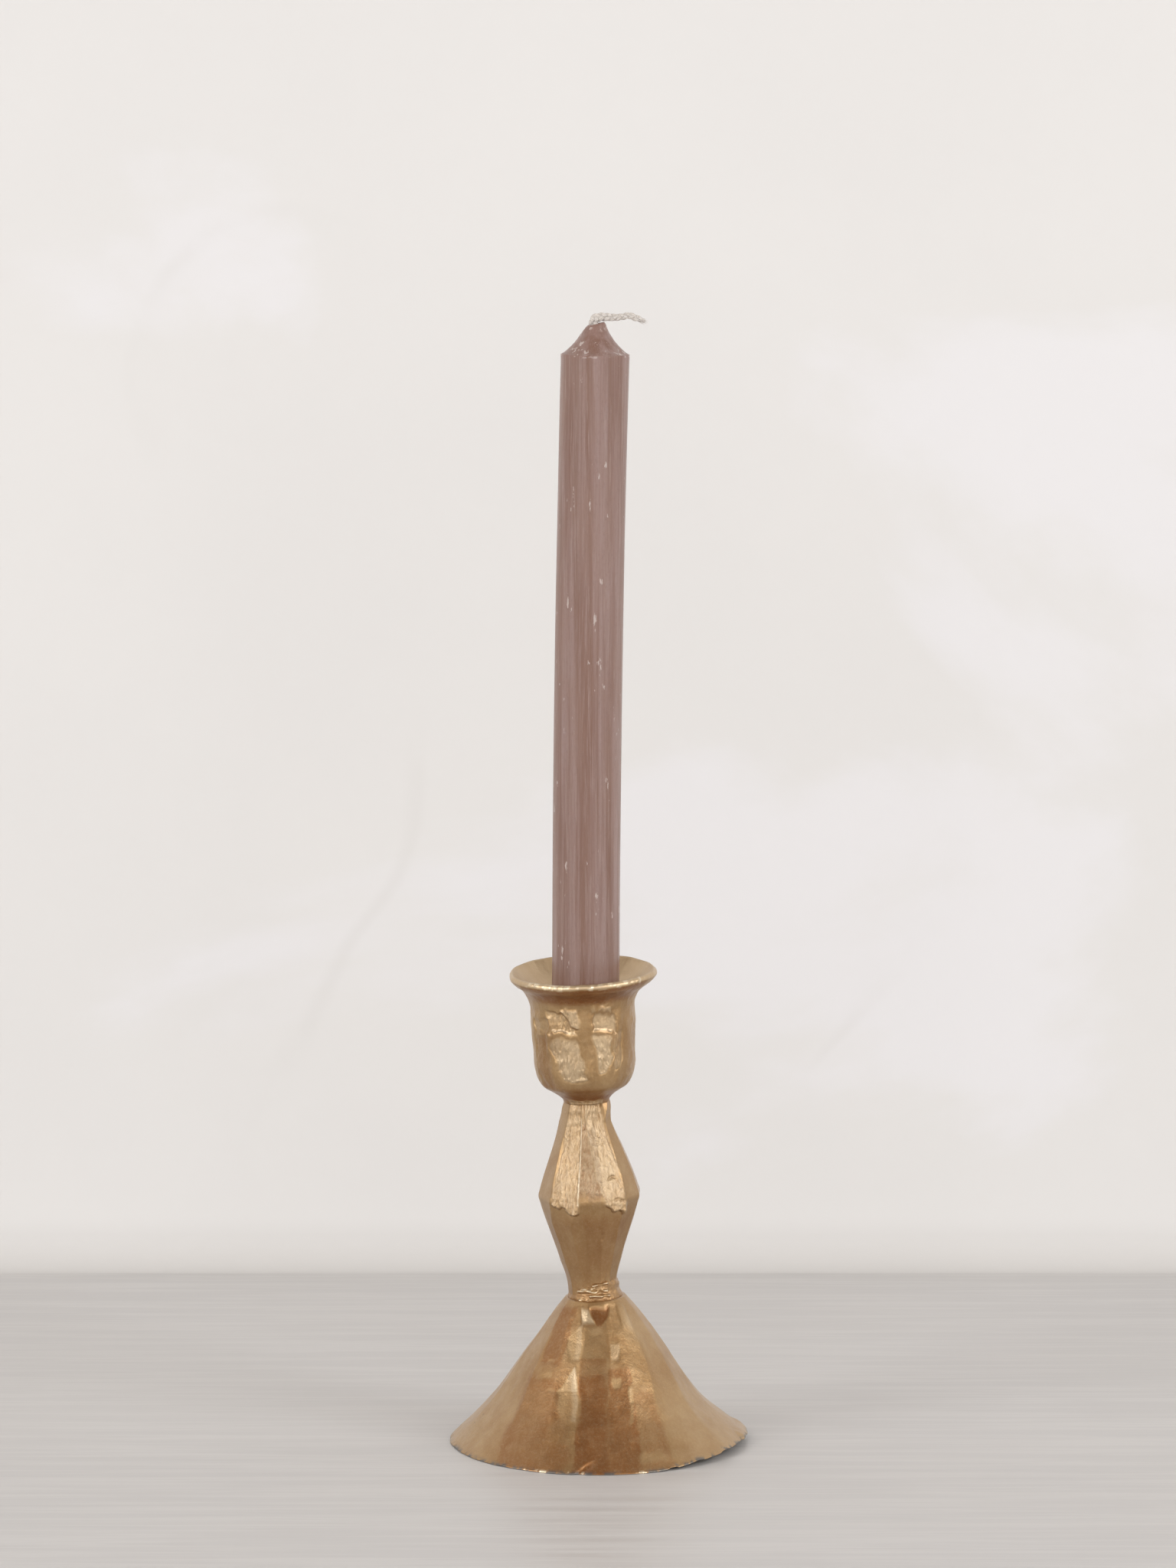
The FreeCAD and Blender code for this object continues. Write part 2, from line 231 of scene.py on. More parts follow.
def chords(side, height, at_heights, rows, softness):
    """How much of a circle's radius is left when its arc between corners is hammered flat.

    Over each chord the radius is cos(half the chord's span) / cos(angle from
    its middle); the smallest of all chords counts, with a soft minimum whose
    rounding grows with softness. Each row holds one corner's place in degrees
    at the given heights.
    """
    corners = np.stack([np.interp(height, at_heights, row) for row in rows], axis=1)
    following = np.roll(corners, -1, axis=1)
    following[:, -1] += 360
    half = np.radians(following - corners)[:, :, None] / 2
    middle = np.radians(following + corners)[:, :, None] / 2
    away = (side - middle + np.pi) % (2 * np.pi) - np.pi
    reach = np.cos(half) / np.maximum(np.cos(away), 0.2)
    return -softness * np.log(np.exp(-reach / softness).sum(axis=1))


def in_degrees(angle):
    """An angle in degrees, from -180 to 180."""
    return (np.degrees(angle) + 180) % 360 - 180


def within(low, high, soft, value):
    """1 between two bounds, with soft edges."""
    return smooth_step(low - soft, low + soft, value) * (1 - smooth_step(high - soft, high + soft, value))


def in_range(angle, low, high, soft):
    """1 where the angle lies between two bounds in degrees."""
    return within(low, high, soft, in_degrees(angle))


def panel(side, tall, low, high, left, right, soft=1.2):
    """1 inside a four-sided panel, whose straight edges have an angle at the low and at the high end.

    The sides fade over soft degrees, and the ends over half as many millimetres.
    """
    climb = np.clip((tall - low) / (high - low), 0, 1)
    left_edge = left[0] + (left[1] - left[0]) * climb
    right_edge = right[0] + (right[1] - right[0]) * climb
    return in_range(side, left_edge, right_edge, soft) * within(low, high, soft / 2, tall)


def press(side, tall, table):
    """The sums of all panels' pushes, in mm and negative inwards, and of their painted light and shade.

    Each row: low and high end, left and right edge, push at low and high end,
    tone from -1 (painted shade) to 1 (painted highlight), and softness.
    """
    push = tone = 0.0
    for low, high, left, right, at_low, at_high, shade, *soft in table:
        inside = panel(side, tall, low, high, left, right, *soft)
        push = push + inside * (at_low + (at_high - at_low) * np.clip((tall - low) / (high - low), 0, 1))
        tone = tone + inside * shade
    return push, tone


def lattice(cell, seed):
    """A repeatable random number from -1 to 1 for each whole-numbered lattice point."""
    mixed = cell[..., 0] * 73856093 ^ cell[..., 1] * 19349663 ^ cell[..., 2] * 83492791 ^ (seed * 97531)
    mixed = (mixed ^ (mixed >> 13)) * 1274126177
    mixed = mixed ^ (mixed >> 16)
    return (mixed & 0xFFFF) / 32767.5 - 1


def noise(points, size, seed):
    """Value noise: lattice numbers blended with smooth steps; size is a lump's size, or one for each axis."""
    scaled = points / np.array(size, float)
    cell = np.floor(scaled).astype(np.int64)
    part = scaled - cell
    part = part * part * (3 - 2 * part)
    total = 0.0
    for corner in np.ndindex(2, 2, 2):
        weight = np.prod(np.where(np.array(corner) == 1, part, 1 - part), axis=-1)
        total = total + weight * lattice(cell + np.array(corner), seed)
    return total


def rough(points, size, seed, octaves=3):
    """Noise on noise: each layer is half the size and half the strength of the one before."""
    return sum(noise(points, np.array(size) / 2 ** k, seed + k) / 2 ** k for k in range(octaves))


def turned(radius, height, angle):
    """Cylinder coordinates to local points: angle 0 is the front, -Y, and 90 degrees is +X."""
    radius, height, angle = np.broadcast_arrays(radius, height, angle)
    return np.stack([radius * np.sin(angle), -radius * np.cos(angle), height], axis=-1)


def round_angles(columns):
    """One row of angles, evenly spaced right round."""
    return np.linspace(0, 2 * np.pi, columns, endpoint=False)[None, :]


print("a chord over 40 degrees leaves %.3f of the radius" % math.cos(math.radians(20)))

# %% [markdown]
# ## The foot
#
# The foot is a cone of thin sheet, hammered over a stake: broad, lazy facets on
# the sides, narrow ones at the front, and a rim that was cut by hand and never
# quite sits flat. The outline gives the cone, chords give the facets, and each
# facet's corner wanders as it climbs; panels paint light and shade on them. The
# inside follows the outside at the sheet's thickness. The rim is cut square, which
# bares a thin grey edge, and grey spots along the rim's foot also paint the shadow under it.

# %% The foot's hammered cone
FOOT_COLUMNS = 480
SEAT = 2.2  # thickness of the flat top, which carries the stem
BOLT_HOLE = 3.2
WALL_ACROSS = 2.3  # the sheet's wall, measured level
rim_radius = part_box("foot")[1][0] / MM
foot_height = on_foot.origin[2]
FOOT_OUTLINE = (
    (rim_radius + 0.75, 0.0), (40.7, 7.6), (33.2, 16.0), (22.0, 32.0), (14.9, 41.7), (9.8, foot_height),
)
# each row is one corner's place, in degrees, at these heights above the table
CORNER_HEIGHTS = (2, 9, 18, 30, 45)
FOOT_CORNERS = (
    (-82, -82, -84, -86, -90),
    (-45, -47, -49, -54, -60),
    (-21, -23, -27, -33, -38),
    (-7.6, -8.6, -10.5, -13, -12),
    (4.2, 4.6, 6.0, 10.0, 15),
    (15.2, 16.5, 20.5, 23, 24),
    (33, 34, 37, 43, 47),
    (61, 60, 62, 66, 70),
    (88, 87, 86, 88, 92),
    (111, 113, 112, 110, 109),
    (136, 134, 137, 138, 140),
    (158, 161, 160, 158, 163),
    (185, 183, 186, 187, 184),
    (207, 210, 209, 207, 211),
    (233, 231, 234, 236, 232),
    (256, 258, 257, 255, 254),
)
# the rows that press() reads; their tones paint light and shade on the facets: a dark band down the front,
# pale sides and a bright leaf at the front left
FOOT_MARKS = (
    (-9, 32, (-7.4, -15), (3.4, 7.4), 0, 0, -0.45, 0.8),
    (-9, 27, (-7.4, -13), (3.4, 6.6), 0, 0, -0.50, 1.6),
    (30.5, 41, (-15, -16), (7.4, 13), 0, 0, -0.12),
    (-9, 29, (3.4, 7.4), (13.0, 26), 0, 0, -0.55, 1.2),
    (-9, 38, (3.4, 9.4), (13.0, 30), 0, 0, -0.28, 1.6),
    (-9, 22, (13.5, 22), (28, 38), 0, 0, -0.30, 2.0),
    (-9, 36, (13.5, 29), (28, 50), 0, 0, -0.22, 2.6),
    (4, 14, (30, 33), (44, 48), -0.10, -0.10, -0.15, 3.0),
    (-9, 25, (-40, -55), (-9, -19), 0, 0, -0.34, 3.0),
    (-9, 46, (-40, -66), (-9, -24), 0, 0, -0.34, 2.2),
    (14, 22, (-21, -27), (-9.0, -12.0), 0.06, -0.18, 0.55, 1.2),
    (22, 29.5, (-27, -18.5), (-12.0, -17.5), -0.18, 0.08, 0.95, 0.9),
    (31.0, 37, (-23, -33), (-14.8, -15.5), -0.16, -0.08, 0.50, 1.2),
    (37, 41.5, (-33, -17), (-15.5, -14), -0.08, 0.15, 0.50, 1.4),
    (8, 14, (-24, -26), (-13, -15), 0.05, -0.05, 0.30, 2.5),
    (31.0, 36.5, (11.5, 11.0), (19.0, 23.0), -0.22, 0.10, 0.75, 1.4),
    (23.6, 26.5, (11.0, 11), (16.5, 18), -0.16, 0.05, 0.70, 1.4),
    (18.8, 23.6, (19.6, 21.5), (22.6, 24.2), -0.12, 0.08, 1.10, 0.8),
    (13.0, 19.0, (17.4, 20.2), (19.4, 22.2), -0.06, 0.00, 0.65, 1.0),
    (24.0, 29.0, (26, 30), (34, 38), -0.08, 0.05, 0.30, 3.0),
    (3.0, 5.5, (16, 17), (30, 28), 0.00, 0.05, 0.45, 2.0),
    (25.0, 27.0, (-46, -44), (-36, -36), -0.08, 0.05, 0.45, 1.6),
    (29.5, 30.6, (-45, -44), (-38, -37), -0.10, 0.05, 0.50),
    (21.5, 22.5, (-36, -35), (-29, -28), -0.10, 0.05, 0.35),
    (-9, 38, (-130, -130), (-48, -68), 0.0, 0.0, 0.15, 3.5),
    (-9, 44, (31, 42), (130, 130), 0.0, 0.0, 0.28, 4.0),
    (26, 40, (20, 23), (30, 42), 0.0, 0.0, 0.15, 3.0),
    (29, 46, (-50, -62), (-30, -30), -0.15, 0.10, -0.42, 2.0),
    (40.8, 46.2, (2, -9), (8, 24), 0.10, -0.80, -1.05, 1.6),
    (41.4, 46.4, (-17, -24), (1, -11), -0.45, 0.10, 0.90, 1.6),
    (38.5, 41.0, (-6, -10), (10, 6), -0.10, 0.20, 0.30, 2.0),
    (-2.0, 2.0, (74, 80), (108, 108), 0.0, 1.7, 0.2, 2.4),
    (40.3, 46.5, (21, 21), (33, 36), -0.20, -0.25, -0.15, 2.0),
    (39.5, 46.5, (34, 38), (47, 52), 0.15, 0.25, 0.30, 2.5),
)


def foot_skin(side, height):
    """The outer radius and its tone of painted light and shade: outline x part of the chords, then panels and
    unevenness.
    """
    tall = height[:, None]
    flatness = np.interp(tall, (0, 6, 16, 40, foot_height), (0.06, 0.22, 0.75, 0.75, 0.4))
    facets = chords(side, height, CORNER_HEIGHTS, FOOT_CORNERS, 0.0016)
    radius = outline(FOOT_OUTLINE, tall) * (1 + (facets - 1) * flatness)
    at = turned(radius, tall, side)
    wander = 1.6 * noise(at, (5, 5, 6), 15) + 0.7 * noise(at, (1.8, 1.8, 2.2), 16)
    push, tone = press(side + np.radians(wander), tall + 0.6 * noise(at, 3, 17), FOOT_MARKS)
    # one slanting cut at the front of the rim, rounded across and gone 4.5 mm up
    across = np.clip(abs(in_degrees(side) + 7.0 - 1.6 * (tall - 0.2)) / 2.6, 0, 1) ** 2
    nick = 0.7 * (1 - across) * (1 - smooth_step(2.3 - 1.408 * across, 4.5 - 1.408 * across, tall))
    uneven = 0.20 * noise(at, (15, 15, 11), 3) + 0.08 * rough(at, (5, 5, 6), 11)
    uneven = uneven + 0.03 * noise(at, (2.4, 2.4, 3), 12)
    tone = tone + 0.10 * rough(at, (7, 7, 9), 19) * smooth_step(0.0, 0.5, 1 - abs(tone))
    # the cut is also painted darker, as shade in its hollow
    return radius + push + uneven - nick, tone - 1.2 * nick


side = round_angles(FOOT_COLUMNS)
outer_height = 0.3 + (foot_height - 0.3) * np.linspace(0, 1, 150)
inner_height = np.linspace(foot_height - SEAT, 0.25, 36)
outer, tone = foot_skin(side, outer_height)
inner = foot_skin(side, inner_height)[0] - WALL_ACROSS
seat = BOLT_HOLE + (outer[-1:] - BOLT_HOLE) * np.linspace(1, 0, 5)[1:, None]
ceiling = BOLT_HOLE + (inner[:1] - BOLT_HOLE) * np.linspace(0, 1, 5)[:-1, None]
lower_edge = inner[-1:] + np.array([[0.4], [0.8]]) * (outer[:1] - inner[-1:])
cut_edge = outer[:1] + np.array([[-0.32], [-0.12], [0.0]])
radius = np.concatenate([outer, seat, ceiling, inner, lower_edge, cut_edge])
edge_height = [0.08, 0.0, 0.0, 0.05, 0.16]
levels = [outer_height, [foot_height] * 4, [foot_height - SEAT] * 4, inner_height, edge_height]
height = np.concatenate(levels)[:, None]

# the rim lifts off the table at the right, and is bitten all round
on_rim = turned(rim_radius, 0.0, side)
degrees = in_degrees(side)
lift = 2.1 * smooth_step(18, 62, degrees) * (1 - smooth_step(95, 150, degrees))
lift = lift + 0.25 * noise(on_rim, 9, 5) * smooth_step(0, 1, lift + 0.2)
bites = 0.5 * smooth_step(0.1, 0.8, rough(on_rim, 6, 23))
height = height + lift * (1 - smooth_step(0, 15, height)) + bites * (1 - smooth_step(0, 1.6, height))
to_stem = smooth_step(foot_height - 20, foot_height - 4, height)[..., None]
standing = upright.place(turned(radius, height, side))
leaning = on_foot.place(turned(radius, height - foot_height, side))
foot_grid = standing * (1 - to_stem) + leaning * to_stem
foot_grid[..., 2] = np.maximum(foot_grid[..., 2], 0)

# paint is lost on the inside; the grey spots along the rim are bare metal and also painted shadow under the
# rim; two stretches of rim are rubbed
fretted = noise(foot_grid, (1.6, 1.6, 40), 21) + 0.5 * noise(foot_grid, (0.7, 0.7, 40), 22)
near_rim = np.exp(-(np.maximum(height - 0.3 - lift - bites, 0) / 0.6) ** 2)
rubbed = in_range(side, -42, -3, 6) + in_range(side, 14, 27, 3)
wear = near_rim * smooth_step(0.15, 0.6, fretted) * rubbed
bare = np.zeros_like(radius)
bare[len(outer) + 4:] = 0.7
bare = np.maximum(bare, near_rim * smooth_step(-0.1, 0.3, -fretted)) * (height < 40) * (1 - wear)
foot = build("foot_hammered", [foot_grid], bare=bare, wear=wear, grain=0, tone=tone)

# %% [markdown]
# ## The stem
#
# Two cones meet at the stem's belly. The upper one was worked with a coarse
# file: its front facets carry long grain, and each stroke stops in a torn
# little lip just past the belly. The lower cone was left smooth. The grain is
# real relief, because it catches the light along the whole facet.

# %% The filed and hammered stem
STEM_COLUMNS = 400
STEM_OUTLINE = (
    (8.25, 0.0), (7.85, 4.5), (8.4, 9.0), (15.75, 31.4), (16.35, 33.7), (15.75, 36.0),
    (8.6, 57.0), (8.0, 60.5), (7.9, 62.5), (7.5, stem_length),
)
STEM_HEIGHTS = (0, 26, 30, 35, 41, 51, 58, 64)
STEM_CORNERS = (
    (-90, -89, -90, -91, -90, -90, -90, -90),
    (-58, -60, -55, -51, -53, -55, -50, -47),
    (-27, -29, -20, -15.6, -15, -14.5, -15, -16),
    (-8, -9, -14, -15, -14.6, -14.1, -14.6, -15.6),
    (16, 14, 16, 16, 10, 5, -13, -14),
    (42, 40, 42, 43, 47, 41, 43, 60),
    (70, 69, 72, 74, 77, 76, 80, 88),
    (101, 99, 104, 103, 102, 105, 109, 112),
    (130, 131, 133, 135, 132, 134, 138, 139),
    (160, 158, 162, 161, 163, 160, 164, 166),
    (188, 190, 187, 189, 190, 192, 190, 191),
    (218, 216, 219, 217, 220, 218, 217, 219),
    (244, 243, 242, 243, 241, 244, 243, 242),
)

side = round_angles(STEM_COLUMNS)
height = np.linspace(0, stem_length, 210)
tall = height[:, None]
base = outline(STEM_OUTLINE, tall)
radius = base * chords(side, height, STEM_HEIGHTS, STEM_CORNERS, 0.0030)
at = turned(radius, tall, side)
radius = radius + 0.12 * noise(at, (7, 7, 9), 31)
fuller_left = np.interp(tall, (0, 4, 12, 22, 34, 50, 58, 64), (0.2, 0.8, 1.6, 1.2, 0.8, 1.0, 1.2, 0.3))
fuller_right = np.interp(tall, (0, 5, 12, 50, 58, 64), (-0.5, -0.6, 0.0, -0.1, -0.9, -0.3))
radius = radius + fuller_left * np.clip(-np.sin(side), 0, 1) + fuller_right * np.clip(np.sin(side), 0, 1)

# the faces that the file worked, down to the ragged line where its strokes stop
ragged = 1.5 * noise(turned(16.0, 0.0, side), 2.2, 33) + 0.6 * noise(at, 1.0, 34)
tongues = 1.9 * in_range(side, -30, -12, 4) + 1.7 * in_range(side, 26, 43, 3)
tongues = tongues - 0.8 * in_range(side, -52, -38, 4)
above_belly = smooth_step(31.5, 32.2, tall + ragged + tongues)
inner_edge = 15 + (35 - np.minimum(tall, 60)) * 0.9
filed_left = in_range(side, -51, -15, 2.0) * above_belly
filed_right = in_range(side, inner_edge, 46, 2.6) * above_belly
filed_middle = in_range(side, -16, 16, 2.0) * smooth_step(33.5, 38.0, tall + ragged)
filed_neck = in_range(side, -46, 40, 4.0) * smooth_step(56.5, 59.0, tall + ragged)
filed_faces = np.clip(filed_left + filed_right, 0, 1)
grain = np.clip(filed_left + filed_right + filed_middle + filed_neck, 0, 1)
shaded_middle = filed_middle * (1 - filed_neck)

# the relief that it left: fibres and creases along the strokes, crumbs where they stop
bent_side = side + 0.05 * noise(turned(10.0, tall, side), (3, 3, 8), 36)
on_grain = turned(8.0, tall, bent_side)
fibres = rough(on_grain, (0.55, 0.55, 1.8), 35)
creases = 1 - 2 * abs(noise(on_grain, (0.7, 0.7, 1.8), 38))
waves = noise(turned(8.0, tall, side), (1.6, 1.6, 3.2), 43)
crumbs = rough(at, (1.1, 1.1, 1.5), 37)
twist = np.interp(tall, (38, 46, 52, 58, 63), (0.0, 0.010, 0.020, 0.030, 0.032))
across = in_degrees(side) - (inner_edge + 44) / 2
radius = radius - twist * across * in_range(side, inner_edge, 46, 1.6) * smooth_step(37, 42, tall)
lip = 31.9 - tongues - ragged
burr = np.exp(-(tall - lip - 0.8) ** 2) * filed_faces
proud = 0.42 * np.clip(33.7 - tall, 0, 3.5) * filed_faces * smooth_step(lip - 0.3, lip + 0.3, tall)
radius = radius + proud - 0.30 * filed_faces + grain * (0.085 * (fibres + 0.9 * creases) + 0.10 * waves)
radius = radius + burr * (0.10 + 0.26 * crumbs)

# one arris painted bright, as wear and highlight, the seams and two creases
arris = np.interp(tall, STEM_HEIGHTS, STEM_CORNERS[3]) - 0.6
line = np.exp(-((in_degrees(side) - arris) / 1.5) ** 2) * smooth_step(31.0, 35.0, tall)
line = line * (1 - smooth_step(59.0, 61.5, tall)) * smooth_step(-0.7, 0.1, noise(at, (2.0, 2.0, 3.5), 42))
seam = panel(side, tall, 20, 23, (10, 12), (16, 19)) + panel(side, tall, 3.5, 8.5, (20, 24), (27, 30))
crease = panel(side, tall + ragged * 0.5, 40.6, 41.4, (24, 26), (38, 38), 0.8)
crease = crease + 0.8 * panel(side, tall + ragged * 0.6, 33.6, 34.3, (29, 30), (43, 43), 0.8)
radius = radius + 0.10 * line + 0.25 * seam * crumbs - 0.35 * crease

ridge = np.exp(-((base / base.max() - 1.0) / 0.012) ** 2) * smooth_step(0, 0.7, noise(at, 3, 39))
wear = np.clip(0.75 * line + 0.22 * burr * smooth_step(0, 0.6, crumbs) + 0.12 * ridge, 0, 1)
# the tone paints light and shade: the filed faces paler, the right one most, as painted highlight; the middle
# facet, the lower cone, the creases, a band on the right by the belly, the front below it and the top under
# the cup darker, as painted shade; the right side a little paler, as painted light; the noise and fibres are
# the paint's own
tone = 0.50 * filed_right + 0.22 * filed_left - 0.50 * shaded_middle
tone = tone - 0.34 * (1 - smooth_step(26.5, 30.5, tall + ragged)) - 0.6 * crease
tone = tone - 0.25 * panel(side, tall, 30, 42, (37, 38), (50, 50), 3.0) + 0.15 * in_range(side, 55, 150, 6)
tone = tone - 0.14 * panel(side, tall, 12, 30, (-8, -12), (15, 19), 3.0)
tone = tone - 0.25 * smooth_step(62.5, 64.0, tall + 0.4 * ragged)
tone = tone + 0.14 * rough(turned(12.0, tall, side), (5, 5, 7), 40) + 0.10 * grain * fibres

hole = np.full((1, STEM_COLUMNS), BOLT_HOLE)
ends = [hole + (radius[-1:] - hole) * 0.5, hole, hole, hole + (radius[:1] - hole) * 0.5]
heights = np.concatenate([tall, [[stem_length], [stem_length], [0.0], [0.0]]])
stem_grid = on_foot.place(turned(np.concatenate([radius, *ends]), heights, side))
# the grey of bare metal darkens the middle facet as painted shade, and greys the filed faces a little
bare = 0.20 * shaded_middle + 0.05 * filed_faces
stem = build("stem_filed", [stem_grid], bare=bare, wear=wear, grain=grain, tone=tone)

# %% [markdown]
# ## The bead of braze
#
# Where stem and foot meet, molten metal was run round the joint and left as it
# froze: a lumpy ring, with a few ripples lying across the front. It is a thin
# ring whose inside is buried in the stem and whose outside is the lumps.

# %% The bead round the stem's end
BEAD_COLUMNS = 320
BEAD_HEIGHT = 6.4
BEAD_INSIDE = 5.0
# each wrinkle's middle height, its rise per degree, its two ends in degrees, how proud it stands, its width
WRINKLES = (
    (5.0, 0.020, -6, 34, 0.95, 0.50),
    (3.0, 0.003, -42, 31, 0.95, 0.50),
    (1.6, -0.006, -12, 34, 0.80, 0.42),
    (3.9, 0.012, -34, 2, 0.30, 0.40),
    (0.5, 0.010, -36, -14, 0.45, 0.45),
)
side = round_angles(BEAD_COLUMNS)
tall = np.linspace(0, BEAD_HEIGHT, 84)[:, None]
ring_base = 8.15 + 0.95 * (1 - smooth_step(0.0, 3.0, tall)) - 0.75 * smooth_step(4.2, BEAD_HEIGHT, tall)
at = turned(ring_base, tall, side)
radius = ring_base - 0.20 + 0.20 * rough(at, (2.0, 2.0, 1.3), 47, 2)
crest = 0.0
for number, (level, rise, start, stop, proud, wide) in enumerate(WRINKLES):
    wobble = 0.35 * noise(at, (2.2, 2.2, 60), 61 + number)
    away = (tall - level - rise * in_degrees(side) - wobble) / wide
    swell = np.exp(-away ** 2) * in_range(side, start, stop, 2.5)
    swell = swell * np.clip(0.65 + 0.9 * noise(at, (1.7, 1.7, 1.5), 71 + number), 0.1, 1.2)
    radius = radius + proud * swell
    crest = np.maximum(crest, swell)
bead_radius = np.concatenate([radius, np.full((6, BEAD_COLUMNS), BEAD_INSIDE)])
bead_height = np.concatenate([tall, np.linspace(BEAD_HEIGHT - 0.4, 0.0, 6)[:, None]])
bead_grid = on_foot.place(turned(bead_radius, bead_height, side))
grain = np.full_like(bead_radius, 0.2)
# crests painted pale, as wear and highlight, and the rest darker, as painted shade between the ripples
wear = 0.85 * smooth_step(0.40, 0.90, crest)
bead = build("foot_bead_rippled", [bead_grid], bare=0, wear=wear, grain=grain, tone=1.2 * crest - 0.45)

# %% [markdown]
# ## The cup
#
# The cup is a tulip: a round bottom, a nearly upright wall and a lip that
# flares out flat. Two rows of hammered panels run round the wall. Each one
# stops in a ledge, and a ledge that faces up is painted pale as a highlight. The
# lip is the part that hands touch, so its edge is dented and rubbed bright, and
# brighter at the front as painted highlight. Under the lip and at the bottom the
# cup is painted darker, as shade.

# %% The gouged cup with its flared lip
CUP_COLUMNS = 420
SOCKET_RADIUS = 11.9
SOCKET_FLOOR = 11.9
SOCKET_MOUTH = 34.4
HEAD_ROOM_RADIUS = 5.5
HEAD_ROOM_DEPTH = 4.2
cup_low, cup_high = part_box("cup")
lip_radius = (cup_high[0] - cup_low[0]) / MM / 2
CUP_OUTLINE = (
    (7.5, 0.0), (7.7, 0.9), (9.2, 2.4), (11.2, 3.8), (13.7, 5.3), (15.0, 7.2), (16.15, 11.0),
    (16.5, 18.0), (16.9, 26.0), (16.75, 31.0), (17.6, 34.6), (19.6, 37.3), (22.1, 39.4), (23.55, 41.0),
)
# the rows that press() reads; their tones paint highlights in the gouges and shade in the deep ones on the
# left
CUP_MARKS = (
    (9.0, 22.8, (-27, -43), (0, -8), -0.65, -0.30, 0.60, 2.4),
    (25.4, 30.6, (9, 12), (41, 37), -0.75, -0.45, 0.60, 1.8),
    (12.2, 24.2, (18, 8), (29, 34), -0.50, -0.25, 0.65, 2.4),
    (12.8, 25.2, (34, 35), (46, 51), -0.35, -0.25, 0.35, 1.8),
    (31.2, 32.4, (15, 17), (32, 30), 0.30, 0.25, 0.50, 1.4),
    (31.0, 33.6, (8, 9), (13, 12), 0.35, 0.25, 0.35, 1.0),
    (25.6, 29.2, (-68, -69), (-46, -45), -0.55, -0.45, 0.30, 2.0),
    (6.0, 24.6, (-66, -70), (-44, -47), -0.30, -0.40, -0.45, 3.0),
    (10.0, 30.0, (46, 48), (82, 84), -0.30, -0.20, 0.0, 4.0),
    (10.0, 16.0, (1, 3), (6, 9), 0.35, 0.20, -0.10, 1.6),
    (33.5, 36.5, (14, 16), (22, 30), -0.35, -0.20, -0.10, 2.0),
)


def cup_cuts(side, tall):
    """The front's panels, given one by one, and two rows round the rest, spaced evenly with a small jitter."""
    table = list(CUP_MARKS)
    jitter = np.random.default_rng(12)
    for middle in range(106, 274, 37):
        shift, sink, half = jitter.uniform(-4, 4), jitter.uniform(-1.2, 1.2), jitter.uniform(13, 16)
        first = middle - half - 360 * (middle > 180)
        left = (first + shift, first - shift)
        right = (left[0] + 2 * half, left[1] + 2 * half)
        if left[0] < 180 < max(right):
            continue  # angles jump from 180 to -180 here, which would cut a panel in two
        table.append((24.6 + sink, 31.0 + sink, left, right, -0.8, -0.6, 0.15, 2.4))
        table.append((10.4 + sink, 23.2 + sink, left, right, -0.7, -0.35, 0.2, 2.8))
    push, tone = press(side, tall, table)
    crest = np.interp(in_degrees(side), (-44, -24, -8), (32.3, 31.7, 26.6))
    cut = smooth_step(24.2, 25.8, tall) * (1 - smooth_step(crest - 0.5, crest + 0.5, tall))
    cut = cut * in_range(side, -43, -8, 2.0)
    torn = smooth_step(crest, crest + 0.6, tall) * (1 - smooth_step(32.5, 34.0, tall))
    torn = torn * in_range(side, -27, -7, 2.0)
    # cut and torn metal is painted paler, as highlight
    return push - 0.85 * cut + 0.15 * torn, tone + 0.25 * cut + 0.55 * torn, torn + 0.6 * cut


side = round_angles(CUP_COLUMNS)
under_lip = CUP_OUTLINE[-1][1]
tall = np.linspace(0, under_lip, 150)[:, None]
base = outline(CUP_OUTLINE, tall)
at = turned(base, tall, side)
wander = 3.4 * noise(at, 4, 63) + 1.8 * noise(at, 1.5, 64)
ragged = 1.1 * noise(at, 4, 65) + 0.7 * noise(at, 1.5, 66)
push, tone, torn = cup_cuts(side + np.radians(wander), tall + ragged)
radius = base + push - 0.45 * np.sin(side) * (1 - smooth_step(35.0, 38.5, tall))
at = turned(radius, tall, side)
radius = radius + 0.20 * noise(at, (6, 6, 7), 51) + 0.12 * rough(at, (2.2, 2.2, 3.0), 53)
scratched = smooth_step(0.10, 0.45, -push) * (1 - smooth_step(23.5, 24.5, tall))
scratched = scratched * in_range(side, -46, 44, 3) + torn
on_wall = turned(15.0, tall, side + 0.02 * (tall - 16) * np.sign(np.sin(side)))
streaks = rough(on_wall, (0.7, 0.7, 2.2), 55)
creases = 1 - 2 * abs(noise(on_wall, (0.9, 0.9, 2.2), 56))
radius = radius + 0.16 * scratched * (streaks + 0.9 * creases)
neck = (1 - smooth_step(1.1, 1.8, tall + 0.5 * noise(at, 2, 68))) * in_range(side, -46, 42, 3)
# painted shade: under the flaring lip, deepest at front and back, on the front of the lip's underside edge, at
# the cup's bottom and in a groove at the neck; the filed band at the neck is paler; the noise is the paint's
# own
hollow = smooth_step(33.0, 36.0, tall) * (1 - smooth_step(39.0, 40.5, tall))
tone = tone - 1.2 * hollow * (0.35 + 0.65 * np.cos(side) ** 2)
tone = tone - 0.9 * smooth_step(39.6, 40.4, tall) * in_range(side, -60, 60, 12)
tone = tone - 0.65 * (1 - smooth_step(4.0, 9.0, tall)) + 0.15 * rough(at, 5, 67, 2)
tone = tone + 0.8 * neck - 0.7 * np.exp(-((tall - 2.2) / 0.8) ** 2)
grain = np.clip(scratched + neck, 0, 1)

